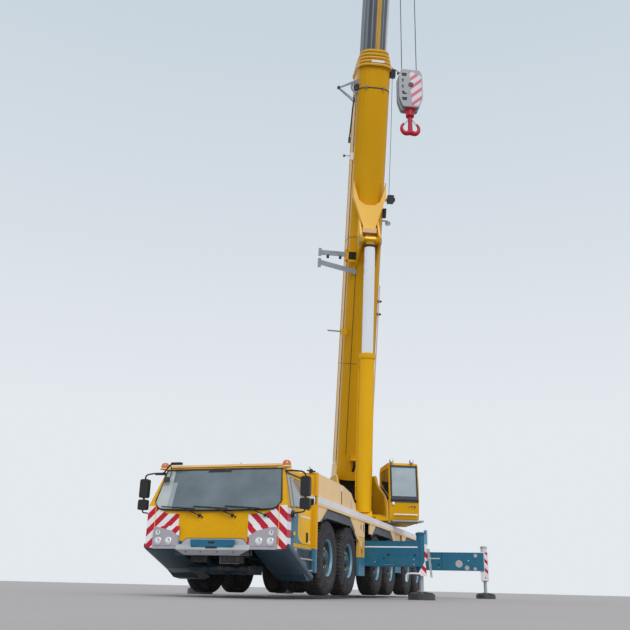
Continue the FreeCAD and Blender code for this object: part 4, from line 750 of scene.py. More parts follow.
def make_cab_roof():
    """Beacons at the corners, roof edge, antenna and hatch."""
    piece = Piece("roof_fittings", "chassis")
    for x in (-1.30, 1.28):
        # Beacon bases and roof edge in the glare yellow: painted sky glare.
        piece.box(sorted((x, x * 0.88)), (-7.46, -7.34), (2.362, 2.380), "glare yellow")
        piece.lathe([(0.098, 0), (0.098, 0.02), (0.082, 0.028)], (x, -7.40, 2.378), (0, 0, 1), "glare yellow")
        piece.lathe([(0.080, 0.020), (0.086, 0.055), (0.078, 0.098), (0.050, 0.130), (0, 0.140)], (x, -7.40, 2.378),
                    (0, 0, 1), "orange lens")
    piece.tube([(0.30, -7.33, 2.44), (0.30, -7.32, 2.47), (0.30, -7.30, 2.505)], 0.006, "black", sides=6)
    edge = [(-1.225, 2.410), (1.225, 2.410), (1.17, 2.454), (-1.17, 2.454)]
    piece.prism("front", rounded(edge, 0.03), -7.42, -7.35, "glare yellow")
    for x in (-0.4, 0.4):
        piece.box((x - 0.26, x + 0.26), (-6.95, -6.50), (2.448, 2.475), "trim")
    for sign in (1, -1):
        piece.lathe([(0.04, 0), (0.045, 0.05), (0.02, 0.08), (0, 0.085)], (sign * 1.36, -6.10, 2.45), (0, 0, 1), "black")
        piece.bar((sign * 1.28, -6.12, 2.50), (sign * 1.46, -6.12, 2.47), 0.03, 0.03, "black")
        piece.bar((sign * 1.38, -6.12, 2.46), (sign * 1.33, -6.14, 2.57), 0.015, 0.015, "black")
    piece.done(bevel=0.005)


def make_mirrors():
    """Mirrors on their arms on both sides, and the front mirror at the right corner."""
    for side, sign in SIDES.items():
        piece = Piece(f"mirrors_{side}", "chassis")
        x = 1.69 * sign
        for low, high, half, depth in ((1.825, 2.19, 0.092, 0.11), (1.59, 1.79, 0.098, 0.10)):
            outline = rounded([(x - half, low), (x + half, low), (x + half, high), (x - half, high)], 0.04)
            piece.prism("front", outline, -7.50, -7.50 + depth, "black")
            glass = [(x + (a - x) * 0.86, low + (b - low) * 0.92 + 0.008) for a, b in outline]
            piece.prism("front", glass, -7.50 + depth, -7.496 + depth, "chrome")
        top = [(sign * 1.24, -7.34, 2.315), (sign * 1.45, -7.46, 2.30), (sign * 1.64, -7.48, 2.27), (x, -7.46, 2.20),
               (x, -7.45, 2.12)]
        piece.tube(smooth_path(top), 0.016, "black")
        low = [(sign * 1.42, -7.44, 1.505), (sign * 1.56, -7.48, 1.525), (sign * 1.67, -7.47, 1.545), (x, -7.45, 1.60)]
        piece.tube(smooth_path(low), 0.014, "black")
        piece.lathe([(0.06, 0), (0.065, 0.025), (0.05, 0.05), (0.02, 0.06)], (sign * 1.42, -7.44, 1.505), (sign, 0, 0), "black")
        piece.rod((x, -7.45, 1.78), (x, -7.45, 1.84), 0.02, "black")
        if side == "right":
            plate = [(-1.24, 2.31), (-1.46, 2.285), (-1.46, 2.265), (-1.22, 2.255)]
            piece.prism("front", plate, -7.50, -7.47, "black")
            arm = [(-1.46, -7.47, 2.275), (-1.28, -7.50, 2.30), (-1.20, -7.53, 2.36), (-1.12, -7.55, 2.44), (-1.02, -7.56, 2.47)]
            piece.tube(smooth_path(arm), 0.016, "black")
            piece.prism("front", rounded([(-1.08, 2.445), (-0.85, 2.445), (-0.85, 2.49), (-1.08, 2.49)], 0.018), -7.60, -7.53, "black")
            loop = [(-1.10, -7.56, 2.43), (-1.065, -7.58, 2.36), (-1.06, -7.60, 2.22), (-1.10, -7.60, 2.17)]
            piece.tube(smooth_path(loop), 0.010, "black")
            piece.prism("front", rounded([(-1.20, 2.09), (-1.07, 2.12), (-1.08, 2.21), (-1.19, 2.20)], 0.03), -7.62, -7.585, "trim")
        piece.done(bevel=0.005)


DOOR_PANE = [(-7.245, 1.665), (-7.095, 2.185), (-6.38, 2.185), (-6.38, 1.665)]


def make_doors():
    """Side glass, handles, lines and seals of the doors, and the steps under them."""
    lean = math.degrees(math.atan2(0.195, 0.72))
    rise = 1 / math.cos(math.radians(lean))
    for side, sign in SIDES.items():
        hinge = Matrix.Translation((sign * cab_side(CAB_WAIST), 0, CAB_WAIST)) @ turn("Y", -sign * lean)
        piece = Piece(f"door_trim_{side}", f"cab_door_{side}")
        piece.local = hinge
        hole = rounded([(y, (z - CAB_WAIST) * rise) for y, z in DOOR_PANE], 0.06)
        border = rounded([(-7.335, -0.005), (-7.165, 0.612), (-6.305, 0.612), (-6.305, 0.035)], 0.03)
        rim = rounded([(-7.320, 0.008), (-7.155, 0.600), (-6.318, 0.600), (-6.318, 0.047)], 0.03)
        count = len(hole)
        ring = [(i, (i + 1) % count, count + (i + 1) % count, count + i) for i in range(count)]
        piece.prism("side", hole, sign * 0.001, sign * 0.005, "side glass")
        piece.put([(sign * 0.005, *p) for p in rim + hole], ring, "side glass")
        piece.put([(sign * 0.006, *p) for p in border + rim], ring, "black")
        piece.local = ROW
        out = 1.43 * sign
        lower = [(-7.350, 1.005), (-7.350, 1.585), (-7.06, 1.545), (-7.075, 1.30), (-7.06, 1.16), (-7.00, 1.08), (-6.88, 1.035),
                 (-6.72, 1.005)]
        # Lower door panel in the lighter teal: painted sky reflection.
        piece.prism("side", lower, out, out + sign * 0.003, "sheen teal")
        piece.box(sorted((out, out + sign * 0.004)), (-6.92, -6.29), (1.500, 1.528), "white")
        piece.box(sorted((out, out + sign * 0.006)), (-6.545, -6.475), (1.045, 1.235), "black")
        piece.bar((out + sign * 0.020, -6.51, 1.06), (out + sign * 0.020, -6.51, 1.22), 0.018, 0.02, "trim")
        for z in (1.075, 1.205):
            piece.bar((out, -6.51, z), (out + sign * 0.022, -6.51, z), 0.018, 0.018, "trim")
        piece.lathe([(0.028, 0), (0.028, 0.006), (0, 0.007)], (out, -6.33, 1.05), (sign, 0, 0), "white")
        piece.done(bevel=0.0015)

        quarter = Piece(f"quarter_glass_{side}", "chassis")
        quarter.local = hinge
        quarter.prism("side", rounded([(-7.535, -0.03), (-7.375, -0.02), (-7.180, 0.655), (-7.350, 0.660)], 0.025),
                      sign * 0.001, sign * 0.004, "black")
        quarter.prism("side", rounded([(-7.515, -0.015), (-7.385, -0.005), (-7.195, 0.640), (-7.340, 0.645)], 0.02),
                      sign * 0.003, sign * 0.006, "side glass")
        quarter.prism("side", [(-7.345, 0.655), (-7.180, 0.655), (-6.27, 0.655), (-6.27, 0.690), (-7.335, 0.690)],
                      sign * 0.001, sign * 0.010, "trim")
        quarter.done(bevel=0.001)

        steps = Piece(f"cab_steps_{side}", "chassis")
        steps.prism("side", rounded([(-7.09, 0.905), (-6.165, 0.905), (-6.165, 0.745), (-6.95, 0.745)], 0.02), out, out + sign * 0.003,
                    "frame teal")
        steps.prism("side", rounded([(-6.56, 0.715), (-6.165, 0.715), (-6.165, 0.545), (-6.38, 0.545)], 0.02), out, out + sign * 0.003,
                    "black")
        steps.box(sorted((sign * 1.30, sign * 1.462)), (-6.98, -6.17), (0.722, 0.746), "silver")
        steps.box(sorted((sign * 1.30, sign * 1.462)), (-6.40, -6.17), (0.520, 0.544), "silver")
        steps.box(sorted((sign * 1.428, sign * 1.434)), (-7.20, -7.12), (0.86, 0.92), "orange lens")
        steps.done(bevel=0.004)

        hull = Piece(f"hull_fairing_{side}", "chassis")
        front, back = Vector((0, -7.655, 0.905)), Vector((0, -6.215, 0.395))
        along = (back - front).normalized()
        under = Vector((0, -along.z, along.y)) * -1
        section = [(0.745, 0.0), (0.745, 0.035), (0.80, 0.075), (1.36, 0.080), (1.43, 0.066), (1.474, 0.030), (1.484, -0.020),
                   (1.478, -0.055), (1.455, -0.066)]
        rows = [(0.0, 0.86, 0.0), (0.02, 0.97, 0.0), (0.05, 1.0, 0.0), (0.5, 1.0, 0.0), (0.93, 1.0, 0.0), (0.97, 0.90, 0.006),
                (0.99, 0.72, 0.016), (1.0, 0.45, 0.03)]
        verts, faces = [], []
        length = (back - front).length + 0.06
        for share, swell, lift in rows:
            for x, depth in section:
                spot = front + along * (length * share) + under * (depth * swell - lift)
                verts.append((sign * (1.455 + (x - 1.455) * (1 if x < 1.0 else swell)), spot.y, spot.z))
        wide = len(section)
        for j in range(len(rows) - 1):
            for i in range(wide - 1):
                a = j * wide + i
                faces.append((a, a + 1, a + 1 + wide, a + wide))
        faces += [tuple(range(wide)), tuple(range(len(verts) - wide, len(verts)))]
        faces += [(j * wide, (j + 1) * wide, (j + 2) * wide - 1, (j + 1) * wide - 1) for j in range(len(rows) - 1)]
        hull.put(verts, faces, "hull teal")
        hull.done(bevel=0)


# ---------------------------------------------------------------- carrier body


def make_covers():
    """Panels round the wheel arches, skirts' folds, seams and slots on covers and panels."""
    piece = Piece("cover_trim", "chassis")
    for sign in (1, -1):
        out = sign * 1.48
        for y in (-4.13, -3.28):
            top = 2.40 if y < -3.6 else 2.20
            piece.box(sorted((out, out + sign * 0.003)), (y - 0.006, y + 0.006), (1.99, top), "trim")
        piece.box(sorted((out, out + sign * 0.006)), (-4.155, -4.105), (2.03, 2.30), "black")
        piece.box(sorted((out, out + sign * 0.006)), (-4.165, -4.095), (2.31, 2.40), "white")
        # Pillar behind the cab in yellow, its lower part in the lighter teal: painted sky reflection.
        piece.box(sorted((sign * 1.478, sign * 1.510)), (-6.145, -6.04), (0.94, 2.45), "yellow")
        piece.box(sorted((sign * 1.478, sign * 1.508)), (-6.145, -6.04), (0.50, 0.94), "sheen teal")
        piece.box(sorted((sign * 1.42, sign * 1.512)), (-6.147, -6.04), (1.972, 1.980), "trim")
        for k in range(14):
            y = -5.9 + 0.16 * k
            piece.box(sorted((sign * 0.80, sign * 1.38)), (y, y + 0.05), (2.452, 2.462), "trim")
        y = -2.22 if sign > 0 else -1.62
        for z, tall, shift in ((1.55, 0.20, 0.20), (1.60, 0.12, -0.06), (1.03, 0.12, 0.02)):
            piece.box(sorted((sign * 1.478, sign * 1.484)), (y + shift - 0.03, y + shift + 0.03), (z, z + tall), "black")
        low, high = (-2.51, -1.91) if sign > 0 else (-1.835, -1.42)
        for z in (0.94, 1.42):
            piece.box(sorted((sign * 1.478, sign * 1.483)), (low, high), (z - 0.004, z + 0.004), "trim")
        piece.box(sorted((sign * 1.478, sign * 1.483)), (y - 0.10, y + 0.0), (1.20, 1.32), "white")
        for low, high, heights in ((2.03, 2.92, (1.28, 1.60, 1.85)), (6.55, 7.70, (1.62, 1.85))):
            for z in heights:
                piece.box(sorted((sign * 1.438, sign * 1.446)), (low, high), (z, z + 0.012), "trim")
    piece.done(bevel=0.002)

    arches = Piece("arch_panels", "chassis")
    for sign in (1, -1):
        inner, outer = sign * 1.448, sign * 1.486
        ahead = [(-6.045, 1.90), (-5.23, 1.90), (-5.27, 1.80), (-5.73, 1.535), (-5.80, 1.50), (-6.045, 1.47)]
        behind = [(-3.42, 1.90), (-2.52, 1.90), (-2.52, 1.30), (-2.86, 1.455), (-2.905, 1.535), (-3.38, 1.80)]
        # Arch panels in the glare yellow: painted sky glare on the sides.
        arches.prism("side", ahead, inner, outer, "glare yellow")
        arches.prism("side", behind, inner, outer, "glare yellow")
        arches.prism("side", [(-5.30, 1.90), (-3.35, 1.90), (-3.35, 1.795), (-5.30, 1.795)], inner, outer, "glare yellow")
        for first, last in ((3, 4), (5, 6)):
            low, high = AXLE_Y[first], AXLE_Y[last]
            for end, way in ((low, -1), (high, 1)):
                arch = [(end + way * 0.09, 1.80), (end + way * 0.52, 1.555), (end + way * 0.79, 1.555),
                        (end + way * 0.79, 1.86), (end + way * 0.05, 1.86)]
                arches.prism("side", arch, inner, outer, "glare yellow")
    arches.done(bevel=0.004)

    ribs = Piece("skirt_folds", "chassis")
    for first, last in ((1, 2), (3, 4), (5, 6)):
        low, high = AXLE_Y[first], AXLE_Y[last]
        for sign in (1, -1):
            out = sign * 1.476
            count = 14
            for k in range(count):
                t = k / (count - 1)
                y_top, y_low = low - 0.07 + (high - low + 0.14) * t, low - 0.42 + (high - low + 0.84) * t
                z_low = 1.620 if 0.14 < t < 0.86 else 1.565
                wave = 0.018 * math.sin(5.1 * k)
                ribs.bar((out, y_top, 1.795), (out, y_low + wave, z_low), 0.020 + 0.008 * (k % 2), 0.014, "rubber", up=(sign, 0, 0))
            ribs.bar((out, low - 0.10, 1.797), (out, high + 0.10, 1.797), 0.018, 0.024, "trim", up=(sign, 0, 0))
            ribs.bar((out, low - 0.30, 1.617), (out, high + 0.30, 1.617), 0.018, 0.016, "rubber", up=(sign, 0, 0))
    ribs.done(bevel=0.004)


def make_underbody():
    """Drive line, air springs, steering rods and tanks under the frame."""
    piece = Piece("drive_line", "chassis")
    ys = list(AXLE_Y.values())
    for a, b in zip(ys, ys[1:]):
        line = [(0, a + 0.28, WHEEL_Z), (0, b - 0.31, WHEEL_Z)]
        if a == AXLE_Y[2]:
            line[1:1] = [(0, -2.42, 0.625), (0, -1.36, 0.625)]
        for start, end in zip(line, line[1:]):
            piece.rod(start, end, 0.055, "dark steel", 16)
        for end in (a + 0.30, b - 0.36):
            piece.lathe([(0.075, 0), (0.095, 0.01), (0.095, 0.05), (0.075, 0.06)], (0, end, WHEEL_Z), (0, 1, 0), "dark steel")
    for y in ys:
        for sign in (1, -1):
            piece.lathe([(0.062, 0), (0.075, 0.01), (0.075, 0.20), (0.055, 0.21), (0.055, 0.30)],
                        (sign * 0.62, y + 0.12, WHEEL_Z + 0.10), (0, 0, 1), "dark steel")
            piece.bar((sign * 0.62, y, WHEEL_Z + 0.10), (sign * 0.62, y + 0.16, WHEEL_Z + 0.10), 0.12, 0.03, "frame teal")
            piece.bar((sign * 0.30, y - 0.10, WHEEL_Z - 0.12), (sign * 0.30, y - 0.62, WHEEL_Z + 0.16), 0.05, 0.07, "frame teal")
        piece.rod((-0.78, y - 0.19, WHEEL_Z - 0.02), (0.78, y - 0.19, WHEEL_Z - 0.02), 0.022, "dark steel", 10)
    for sign in (1, -1):
        for first in (1, 3, 5):
            piece.box(sorted((sign * 0.56, sign * 1.40)), (AXLE_Y[first] - 0.80, AXLE_Y[first + 1] + 0.80), (1.60, 1.62),
                      "black")
        for y in (-2.80, 2.20):
            piece.lathe([(0.0, 0), (0.10, 0.01), (0.13, 0.05), (0.13, 0.42), (0.10, 0.46), (0, 0.47)],
                        (sign * 0.80, y, 1.30), (0, 1, 0), "black", sides=28)
    piece.rod((-0.55, -6.9, 0.55), (0.55, -6.9, 0.55), 0.06, "frame teal", 16)
    piece.done(bevel=0.004)


def make_tail():
    """Tail lamps, striped warning panels and a steel fitting at the carrier's rear."""
    piece = Piece("tail_fittings", "chassis")
    for sign in (1, -1):
        piece.box(sorted((sign * 0.86, sign * 1.38)), (7.72, 7.772), (1.42, 1.58), "black")
        for x, lens in ((0.94, "red lens"), (1.06, "red lens"), (1.18, "orange lens"), (1.30, "clear lens")):
            piece.lathe([(0.048, 0), (0.048, 0.012), (0.03, 0.02), (0, 0.022)], (sign * x, 7.765, 1.50), (0, 1, 0), lens)
        piece.box(sorted((sign * 0.56, sign * 1.44)), (7.68, 7.72), (1.05, 1.38), "chevron left" if sign > 0 else "chevron right")
    piece.lathe([(0.07, 0), (0.07, 0.05), (0.03, 0.06), (0.03, 0.10)], (0, 7.66, 1.25), (0, 1, 0), "steel")
    piece.done(bevel=0.004)


# ---------------------------------------------------------------- outriggers

BEAMS = {
    # body ending: jack x, beam middle y, underside of the beam
    "front_left": (2.85, -1.6815, 0.76), "front_right": (-2.85, -2.0685, 0.76),
    "rear_left": (3.58, 7.0180, 0.90), "rear_right": (-3.58, 6.6315, 0.90),
}


def make_outriggers():
    """Lines, holes, posts, jack covers, hoses and pads of the four outriggers."""
    for tag, (x, y, low) in BEAMS.items():
        sign = 1 if x > 0 else -1
        front = tag.startswith("front")
        piece = Piece(f"outrigger_trim_{tag}", f"outrigger_beam_{tag}")
        near, far = sorted((sign * 1.50, x - sign * 0.10))
        face = y - 0.166
        if front:
            discs = [(0.78, 0.272, 0.032, "black"), (0.90, 0.186, 0.022, "black"), (0.123, 0.265, 0.026, "black"),
                     (0.145, 0.17, 0.020, "light teal"), (0.145, 0.05, 0.020, "light teal"), (1.12, 0.10, 0.018, "light teal")]
        else:
            discs = [(0.847, 0.222, 0.110, "disc grey"), (0.574, 0.088, 0.070, "disc grey"),
                     (0.273, 0.50, 0.055, "disc grey"), (0.297, 0.06, 0.050, "disc grey"), (0.52, 0.33, 0.016, "white"),
                     (1.56, 0.18, 0.030, "black"), (1.56, 0.08, 0.022, "light teal")]
        for step, rise, radius, finish in discs:
            piece.lathe([(radius * 1.12, 0), (radius * 1.12, 0.002), (radius, 0.004), (radius * 0.86, 0.002), (0, 0.002)],
                        (x - sign * step, face, low + rise), (0, -1, 0), finish, sides=28)
        for z in (low + 0.012, low + 0.588):
            piece.bar((near, face, z), (far, face, z), 0.02, 0.006, "teal", up=(0, -1, 0))
        if front:
            # Thin light teal line along the beam's lower edge: a painted highlight.
            line = [(x - sign * 0.90, low + 0.040), (x - sign * 0.615, low + 0.040), (x - sign * 0.49, low - 0.030)]
            piece.bar((line[0][0], face, line[0][1]), (line[1][0], face, line[1][1]), 0.008, 0.008, "light teal", up=(0, -1, 0))
            piece.box(sorted((x + sign * 0.095, x + sign * 0.165)), (y - 0.05, y + 0.05), (low + 0.53, low + 0.87), "light teal")
            piece.box(sorted((x + sign * 0.120, x + sign * 0.140)), (y - 0.055, y - 0.045), (low + 0.78, low + 0.83), "black")
            piece.box(sorted((x + sign * 0.10, x + sign * 0.155)), (y - 0.055, y + 0.02), (low + 0.14, low + 0.54), "hazard")
            cover = [(x - sign * 0.085, low - 0.21), (x + sign * 0.160, low - 0.21), (x + sign * 0.125, low + 0.14)]
            piece.prism("front", cover, y - 0.135, y - 0.115, "jack stripes")
            pipe = [(x + sign * 0.0, y - 0.13, low - 0.165), (x - sign * 0.12, y - 0.16, low - 0.155),
                    (x - sign * 0.27, y - 0.16, low - 0.16), (x - sign * 0.335, y - 0.15, low - 0.19),
                    (x - sign * 0.345, y - 0.15, low - 0.34)]
            piece.tube(smooth_path(pipe), 0.022, "white")
        else:
            housing = [(x - sign * 0.125, low - 0.32), (x + sign * 0.125, low - 0.32), (x + sign * 0.13, low + 0.62),
                       (x - sign * 0.125, low + 0.62)]
            piece.prism("front", housing, y - 0.125, y - 0.107, "white")
            piece.prism("front", housing, y + 0.107, y + 0.125, "white")
            for side in (1, -1):
                piece.box(sorted((x + side * 0.107, x + side * 0.125)), (y - 0.12, y + 0.12), (low - 0.32, low + 0.62), "white")
            striped = sorted((x + sign * 0.02, x + sign * 0.128))
            piece.box(striped, (y - 0.128, y - 0.124), (low - 0.24, low + 0.61), "jack stripes")
            piece.box(sorted((x - sign * 0.133, x - sign * 0.12)), (y - 0.10, y - 0.02), (low + 0.50, low + 0.58), "white")
        piece.lathe([(0.112, 0.0), (0.122, 0.01), (0.122, 0.05), (0.06, 0.07), (0, 0.075)], (x, y, low + 0.755), (0, 0, 1),
                    "teal" if front else "silver", sides=32)
        for dy in (0.10, 0.13):
            hose = [(x - sign * 0.10, y + dy, low + 0.60), (x - sign * 0.09, y + dy + 0.01, low + 0.68),
                    (x - sign * 0.05, y + dy, low + 0.72), (x - sign * 0.02, y + dy - 0.03, low + 0.70)]
            piece.tube(smooth_path(hose), 0.012, "hose")
        if front:
            for dy in (-0.10, 0.10):
                piece.bar((x + sign * 0.19, y + dy, low + 0.43), (x + sign * 0.25, y + dy, low - 0.24), 0.022, 0.022, "silver")
            for k in range(4):
                z, out = low + 0.38 - 0.17 * k, x + sign * (0.194 + 0.0152 * k)
                piece.bar((out, y - 0.10, z), (out, y + 0.10, z), 0.02, 0.02, "silver")
            piece.bar((x + sign * 0.13, y, low + 0.40), (x + sign * 0.20, y, low + 0.40), 0.03, 0.03, "silver")
        piece.done(bevel=0.004)

        leg = Piece(f"pad_trim_{tag}", f"jack_leg_{tag}")
        leg.lathe([(0.30, 0.128), (0.318, 0.131), (0.318, 0.138), (0.30, 0.141), (0.12, 0.150), (0.112, 0.19), (0.085, 0.198),
                   (0.060, 0.200)], (x, y, 0), (0, 0, 1), "pad", sides=40)
        for angle, dx, dy in ring_of(8, 0.215):
            leg.bar((x + dx * 0.5, y + dy * 0.5, 0.160), (x + dx * 1.3, y + dy * 1.3, 0.142), 0.014, 0.05, "pad")
        for angle, dx, dy in ring_of(2, 0.30, 1.5708):
            leg.tube(smooth_path([(x + dx - 0.05, y + dy, 0.13), (x + dx - 0.04, y + dy, 0.185),
                                  (x + dx + 0.04, y + dy, 0.185), (x + dx + 0.05, y + dy, 0.13)]), 0.01, "steel")
        leg.done(bevel=0.003)


# ---------------------------------------------------------------- superstructure


def make_superstructure():
    """Seams, edges, hoses, walkway and rails of the turntable."""
    piece = Piece("platform_trim", "superstructure", SLEW)
    for sign in (1, -1):
        x = sign * 0.66
        # A pale tube along the platform's side edge: a painted highlight.
        edge = [(-1.75, 2.16), (-1.75, 2.50), (-1.48, 2.87), (-0.60, 3.23), (-0.25, 3.42), (0.07, 3.70), (1.35, 3.77)]
        piece.tube(smooth_path([(x - sign * 0.005, *p) for p in edge], 3), 0.016, "glare yellow", sides=8)
        piece.lathe([(0.17, 0), (0.17, 0.02), (0.13, 0.03), (0, 0.03)], (sign * 0.665, 1.6, 3.55), (sign, 0, 0), "grey", sides=32)
        for angle, dy, dz in ring_of(8, 0.145):
            piece.lathe([(0.014, 0), (0.014, 0.04), (0, 0.041)], (sign * 0.665, 1.6 + dy, 3.55 + dz), (sign, 0, 0),
                        "dark steel", sides=6)
        piece.lathe([(0.15, 0), (0.15, 0.02), (0, 0.022)], (sign * 0.662, -1.29, 2.27), (sign, 0, 0), "grey", sides=32)
        for y in (2.4, 3.0):
            piece.lathe([(0.05, 0), (0.05, 0.01), (0.03, 0.012), (0, 0.004)], (x, y, 2.6), (sign, 0, 0), "black")
    for angle, dx, dy in ring_of(44, 1.0, 0.02):
        piece.lathe([(0.018, 0), (0.018, 0.02), (0, 0.021)], (dx, dy, 2.020), (0, 0, -1), "steel", sides=6)
    for k in range(4):
        x = -0.18 + 0.12 * k
        hose = [(x, -1.0, 2.27), (x * 1.3, -0.4, 2.32), (x * 1.5, 0.3, 2.31), (x * 1.2, 0.9, 2.30)]
        piece.tube(smooth_path(hose), 0.028, "hose")
    piece.box((0.70, 1.62), (-2.14, -1.88), (2.115, 2.135), "mesh grey")
    for y in (-2.15, -1.89):
        piece.bar((0.70, y, 2.125), (1.64, y, 2.125), 0.03, 0.05, "grey")
    for k in range(16):
        x = 0.72 + 0.06 * k
        piece.bar((x, -2.14, 2.14), (x, -1.89, 2.14), 0.012, 0.03, "grey")
    for x in (0.78, 1.50):
        piece.bar((x, -1.95, 2.10), (x, -1.80, 2.10), 0.04, 0.05, "grey")
    piece.box((-0.56, 0.56), (0.92, 0.96), (2.05, 2.44), "machine")
    for x in (-0.42, 0.06, 0.34):
        piece.box((x, x + 0.16), (0.89, 0.92), (2.10, 2.40), "black")
    for y in (2.75, 3.95):
        piece.bar((-0.62, y, 2.40), (0.62, y, 2.40), 0.10, 0.12, "yellow")
    for sign in (1, -1):
        rail = [(sign * 0.70, 2.2, 3.05), (sign * 0.70, 2.3, 3.60), (sign * 0.70, 3.2, 3.55), (sign * 0.70, 3.35, 2.85)]
        piece.tube(smooth_path(rail), 0.014, "grey")
    piece.done(bevel=0.004)

    slabs = Piece("counterweight_trim", "superstructure", SLEW)
    for k in range(1, 4):
        z = 2.27 + 0.29 * k
        for sign in (1, -1):
            slabs.box(sorted((sign * 1.424, sign * 1.434)), (3.46, 4.20), (z - 0.006, z + 0.006), "black")
        slabs.box((-0.97, 0.97), (4.544, 4.554), (z - 0.006, z + 0.006), "black")
    for x in (-1.2, 1.2):
        for y in (3.65, 4.05):
            slabs.tube(smooth_path([(x - 0.07, y, 3.43), (x - 0.06, y, 3.52), (x + 0.06, y, 3.52), (x + 0.07, y, 3.43)]),
                       0.02, "dark steel")
    for x in (-0.6, 0.6):
        slabs.box((x - 0.30, x + 0.30), (4.548, 4.556), (2.62, 3.05), "chevron left" if x > 0 else "chevron right")
    slabs.done(bevel=0.003)

    drum = Piece("drum_rope", "superstructure", SLEW)
    turns, profile = 17, []
    for k in range(turns * 4 + 1):
        profile.append((0.300 + 0.012 * math.cos(2 * math.pi * k / 4), -0.425 + 0.85 * k / (turns * 4)))
    drum.lathe(profile, (0, 2.85, 2.66), (1, 0, 0), "rope", sides=40)
    for x in (-0.47, 0.462):
        for angle, dy, dz in ring_of(10, 0.27):
            drum.lathe([(0.02, 0), (0.02, 0.012), (0, 0.013)], (x, 2.85 + dy, 2.66 + dz), (1 if x > 0 else -1, 0, 0),
                       "steel", sides=6)
    drum.done(bevel=0)


OP_LOW, OP_HIGH = 0.68, 1.57


def make_operator_cab():
    """Panes, lamps, wiper, seat and console of the operator's cab."""
    piece = Piece("operator_panes", "operator_cab", SLEW)
    wide = (OP_LOW + 0.045, OP_HIGH - 0.045)
    tilt = 0.10 / 1.07

    def nose(z):
        return -1.93 + max(0.0, z - 2.72) * tilt

    # The front pane's pale colour is a painted sky reflection.
    pane = [(wide[0], 2.69), (wide[1], 2.69), (wide[1], 3.775), (wide[0], 3.775)]
    verts = [(x, nose(z) - 0.006 + dy, z) for dy in (0, 0.006) for x, z in pane]
    piece.put(verts, [(0, 1, 2, 3), (4, 5, 6, 7), (0, 1, 5, 4), (1, 2, 6, 5), (2, 3, 7, 6), (3, 0, 4, 7)], "sky reflecting pane")
    for low, high, z0, z1 in ((wide[0], wide[1], 2.68, 2.86), (wide[0], wide[1], 3.72, 3.79)):
        verts = [(x, nose(z) - 0.012 + dy, z) for dy in (0, 0.008) for x, z in ((low, z0), (high, z0), (high, z1), (low, z1))]
        piece.put(verts, [(0, 1, 2, 3), (4, 5, 6, 7), (0, 1, 5, 4), (1, 2, 6, 5), (2, 3, 7, 6), (3, 0, 4, 7)], "visor")
    for low, high in ((wide[0] - 0.02, wide[0] + 0.03), (wide[1] - 0.03, wide[1] + 0.02)):
        verts = [(x, nose(z) - 0.014 + dy, z) for dy in (0, 0.012) for x, z in ((low, 2.68), (high, 2.68), (high, 3.80), (low, 3.80))]
        piece.put(verts, [(0, 1, 2, 3), (4, 5, 6, 7), (0, 1, 5, 4), (1, 2, 6, 5), (2, 3, 7, 6), (3, 0, 4, 7)], "black")
    for x in (OP_LOW + 0.02, OP_HIGH - 0.02):
        piece.prism("side", rounded([(-1.775, 2.765), (-1.685, 3.725), (-0.565, 3.725), (-0.565, 2.765)], 0.05),
                    x - 0.004, x + 0.004, "visor")
    piece.done(bevel=0)

    trim = Piece("operator_trim", "operator_cab", SLEW)
    for x in (0.76, 1.38):
        trim.lathe([(0.055, 0), (0.065, 0.02), (0.06, 0.07), (0.0, 0.075)], (x, -1.80, 3.905), (0, -1, 0), "black", sides=24)
        trim.lathe([(0.052, 0.07), (0.04, 0.08), (0, 0.084)], (x, -1.80, 3.905), (0, -1, 0), "clear lens", sides=24)
        trim.bar((x, -1.77, 3.86), (x, -1.77, 3.91), 0.02, 0.03, "trim")
    trim.box((0.70, 1.55), (-1.975, -1.93), (2.735, 2.76), "black")
    trim.box((0.80, 1.52), (-1.937, -1.929), (2.315, 2.350), "white")
    for x, z, radius, lens in ((0.79, 2.635, 0.045, "clear lens"), (1.43, 2.565, 0.030, "red lens"),
                               (1.27, 2.575, 0.022, "light teal"), (1.34, 2.570, 0.016, "black")):
        trim.lathe([(radius, 0), (radius, 0.016), (radius * 0.6, 0.024), (0, 0.026)], (x, -1.93, z), (0, -1, 0), lens)
    for x, sign in ((OP_LOW, -1), (OP_HIGH, 1)):
        trim.box(sorted((x, x + sign * 0.006)), (-1.05, -1.04), (2.24, 3.74), "black")
        trim.box(sorted((x, x + sign * 0.02)), (-0.98, -0.86), (2.62, 2.66), "trim")
    trim.tube(smooth_path([(OP_HIGH + 0.01, -1.70, 2.80), (OP_HIGH + 0.05, -1.68, 2.85), (OP_HIGH + 0.05, -1.62, 3.45),
                           (OP_HIGH + 0.01, -1.60, 3.50)]), 0.013, "trim")
    trim.box((0.90, 1.40), (-1.10, -0.62), (2.62, 2.74), "seat")
    trim.prism("side", rounded([(-0.70, 2.72), (-0.58, 2.72), (-0.50, 3.42), (-0.60, 3.42)], 0.04), 0.92, 1.38, "seat")
    trim.prism("side", rounded([(-0.62, 3.44), (-0.52, 3.44), (-0.49, 3.64), (-0.57, 3.64)], 0.03), 1.02, 1.28, "seat")
    for x in (0.80, 1.44):
        trim.box((x - 0.06, x + 0.06), (-1.20, -0.70), (2.80, 2.88), "trim")
        trim.lathe([(0.012, 0), (0.012, 0.12), (0.028, 0.14), (0.02, 0.20), (0, 0.205)], (x, -1.12, 2.88), (0, 0, 1), "black")
    trim.box((1.20, 1.42), (-1.55, -1.48), (2.95, 3.15), "trim")
    trim.box((1.08, 1.22), (-1.00, -0.74), (2.245, 2.62), "trim")
    trim.done(bevel=0.006)


# ---------------------------------------------------------------- boom


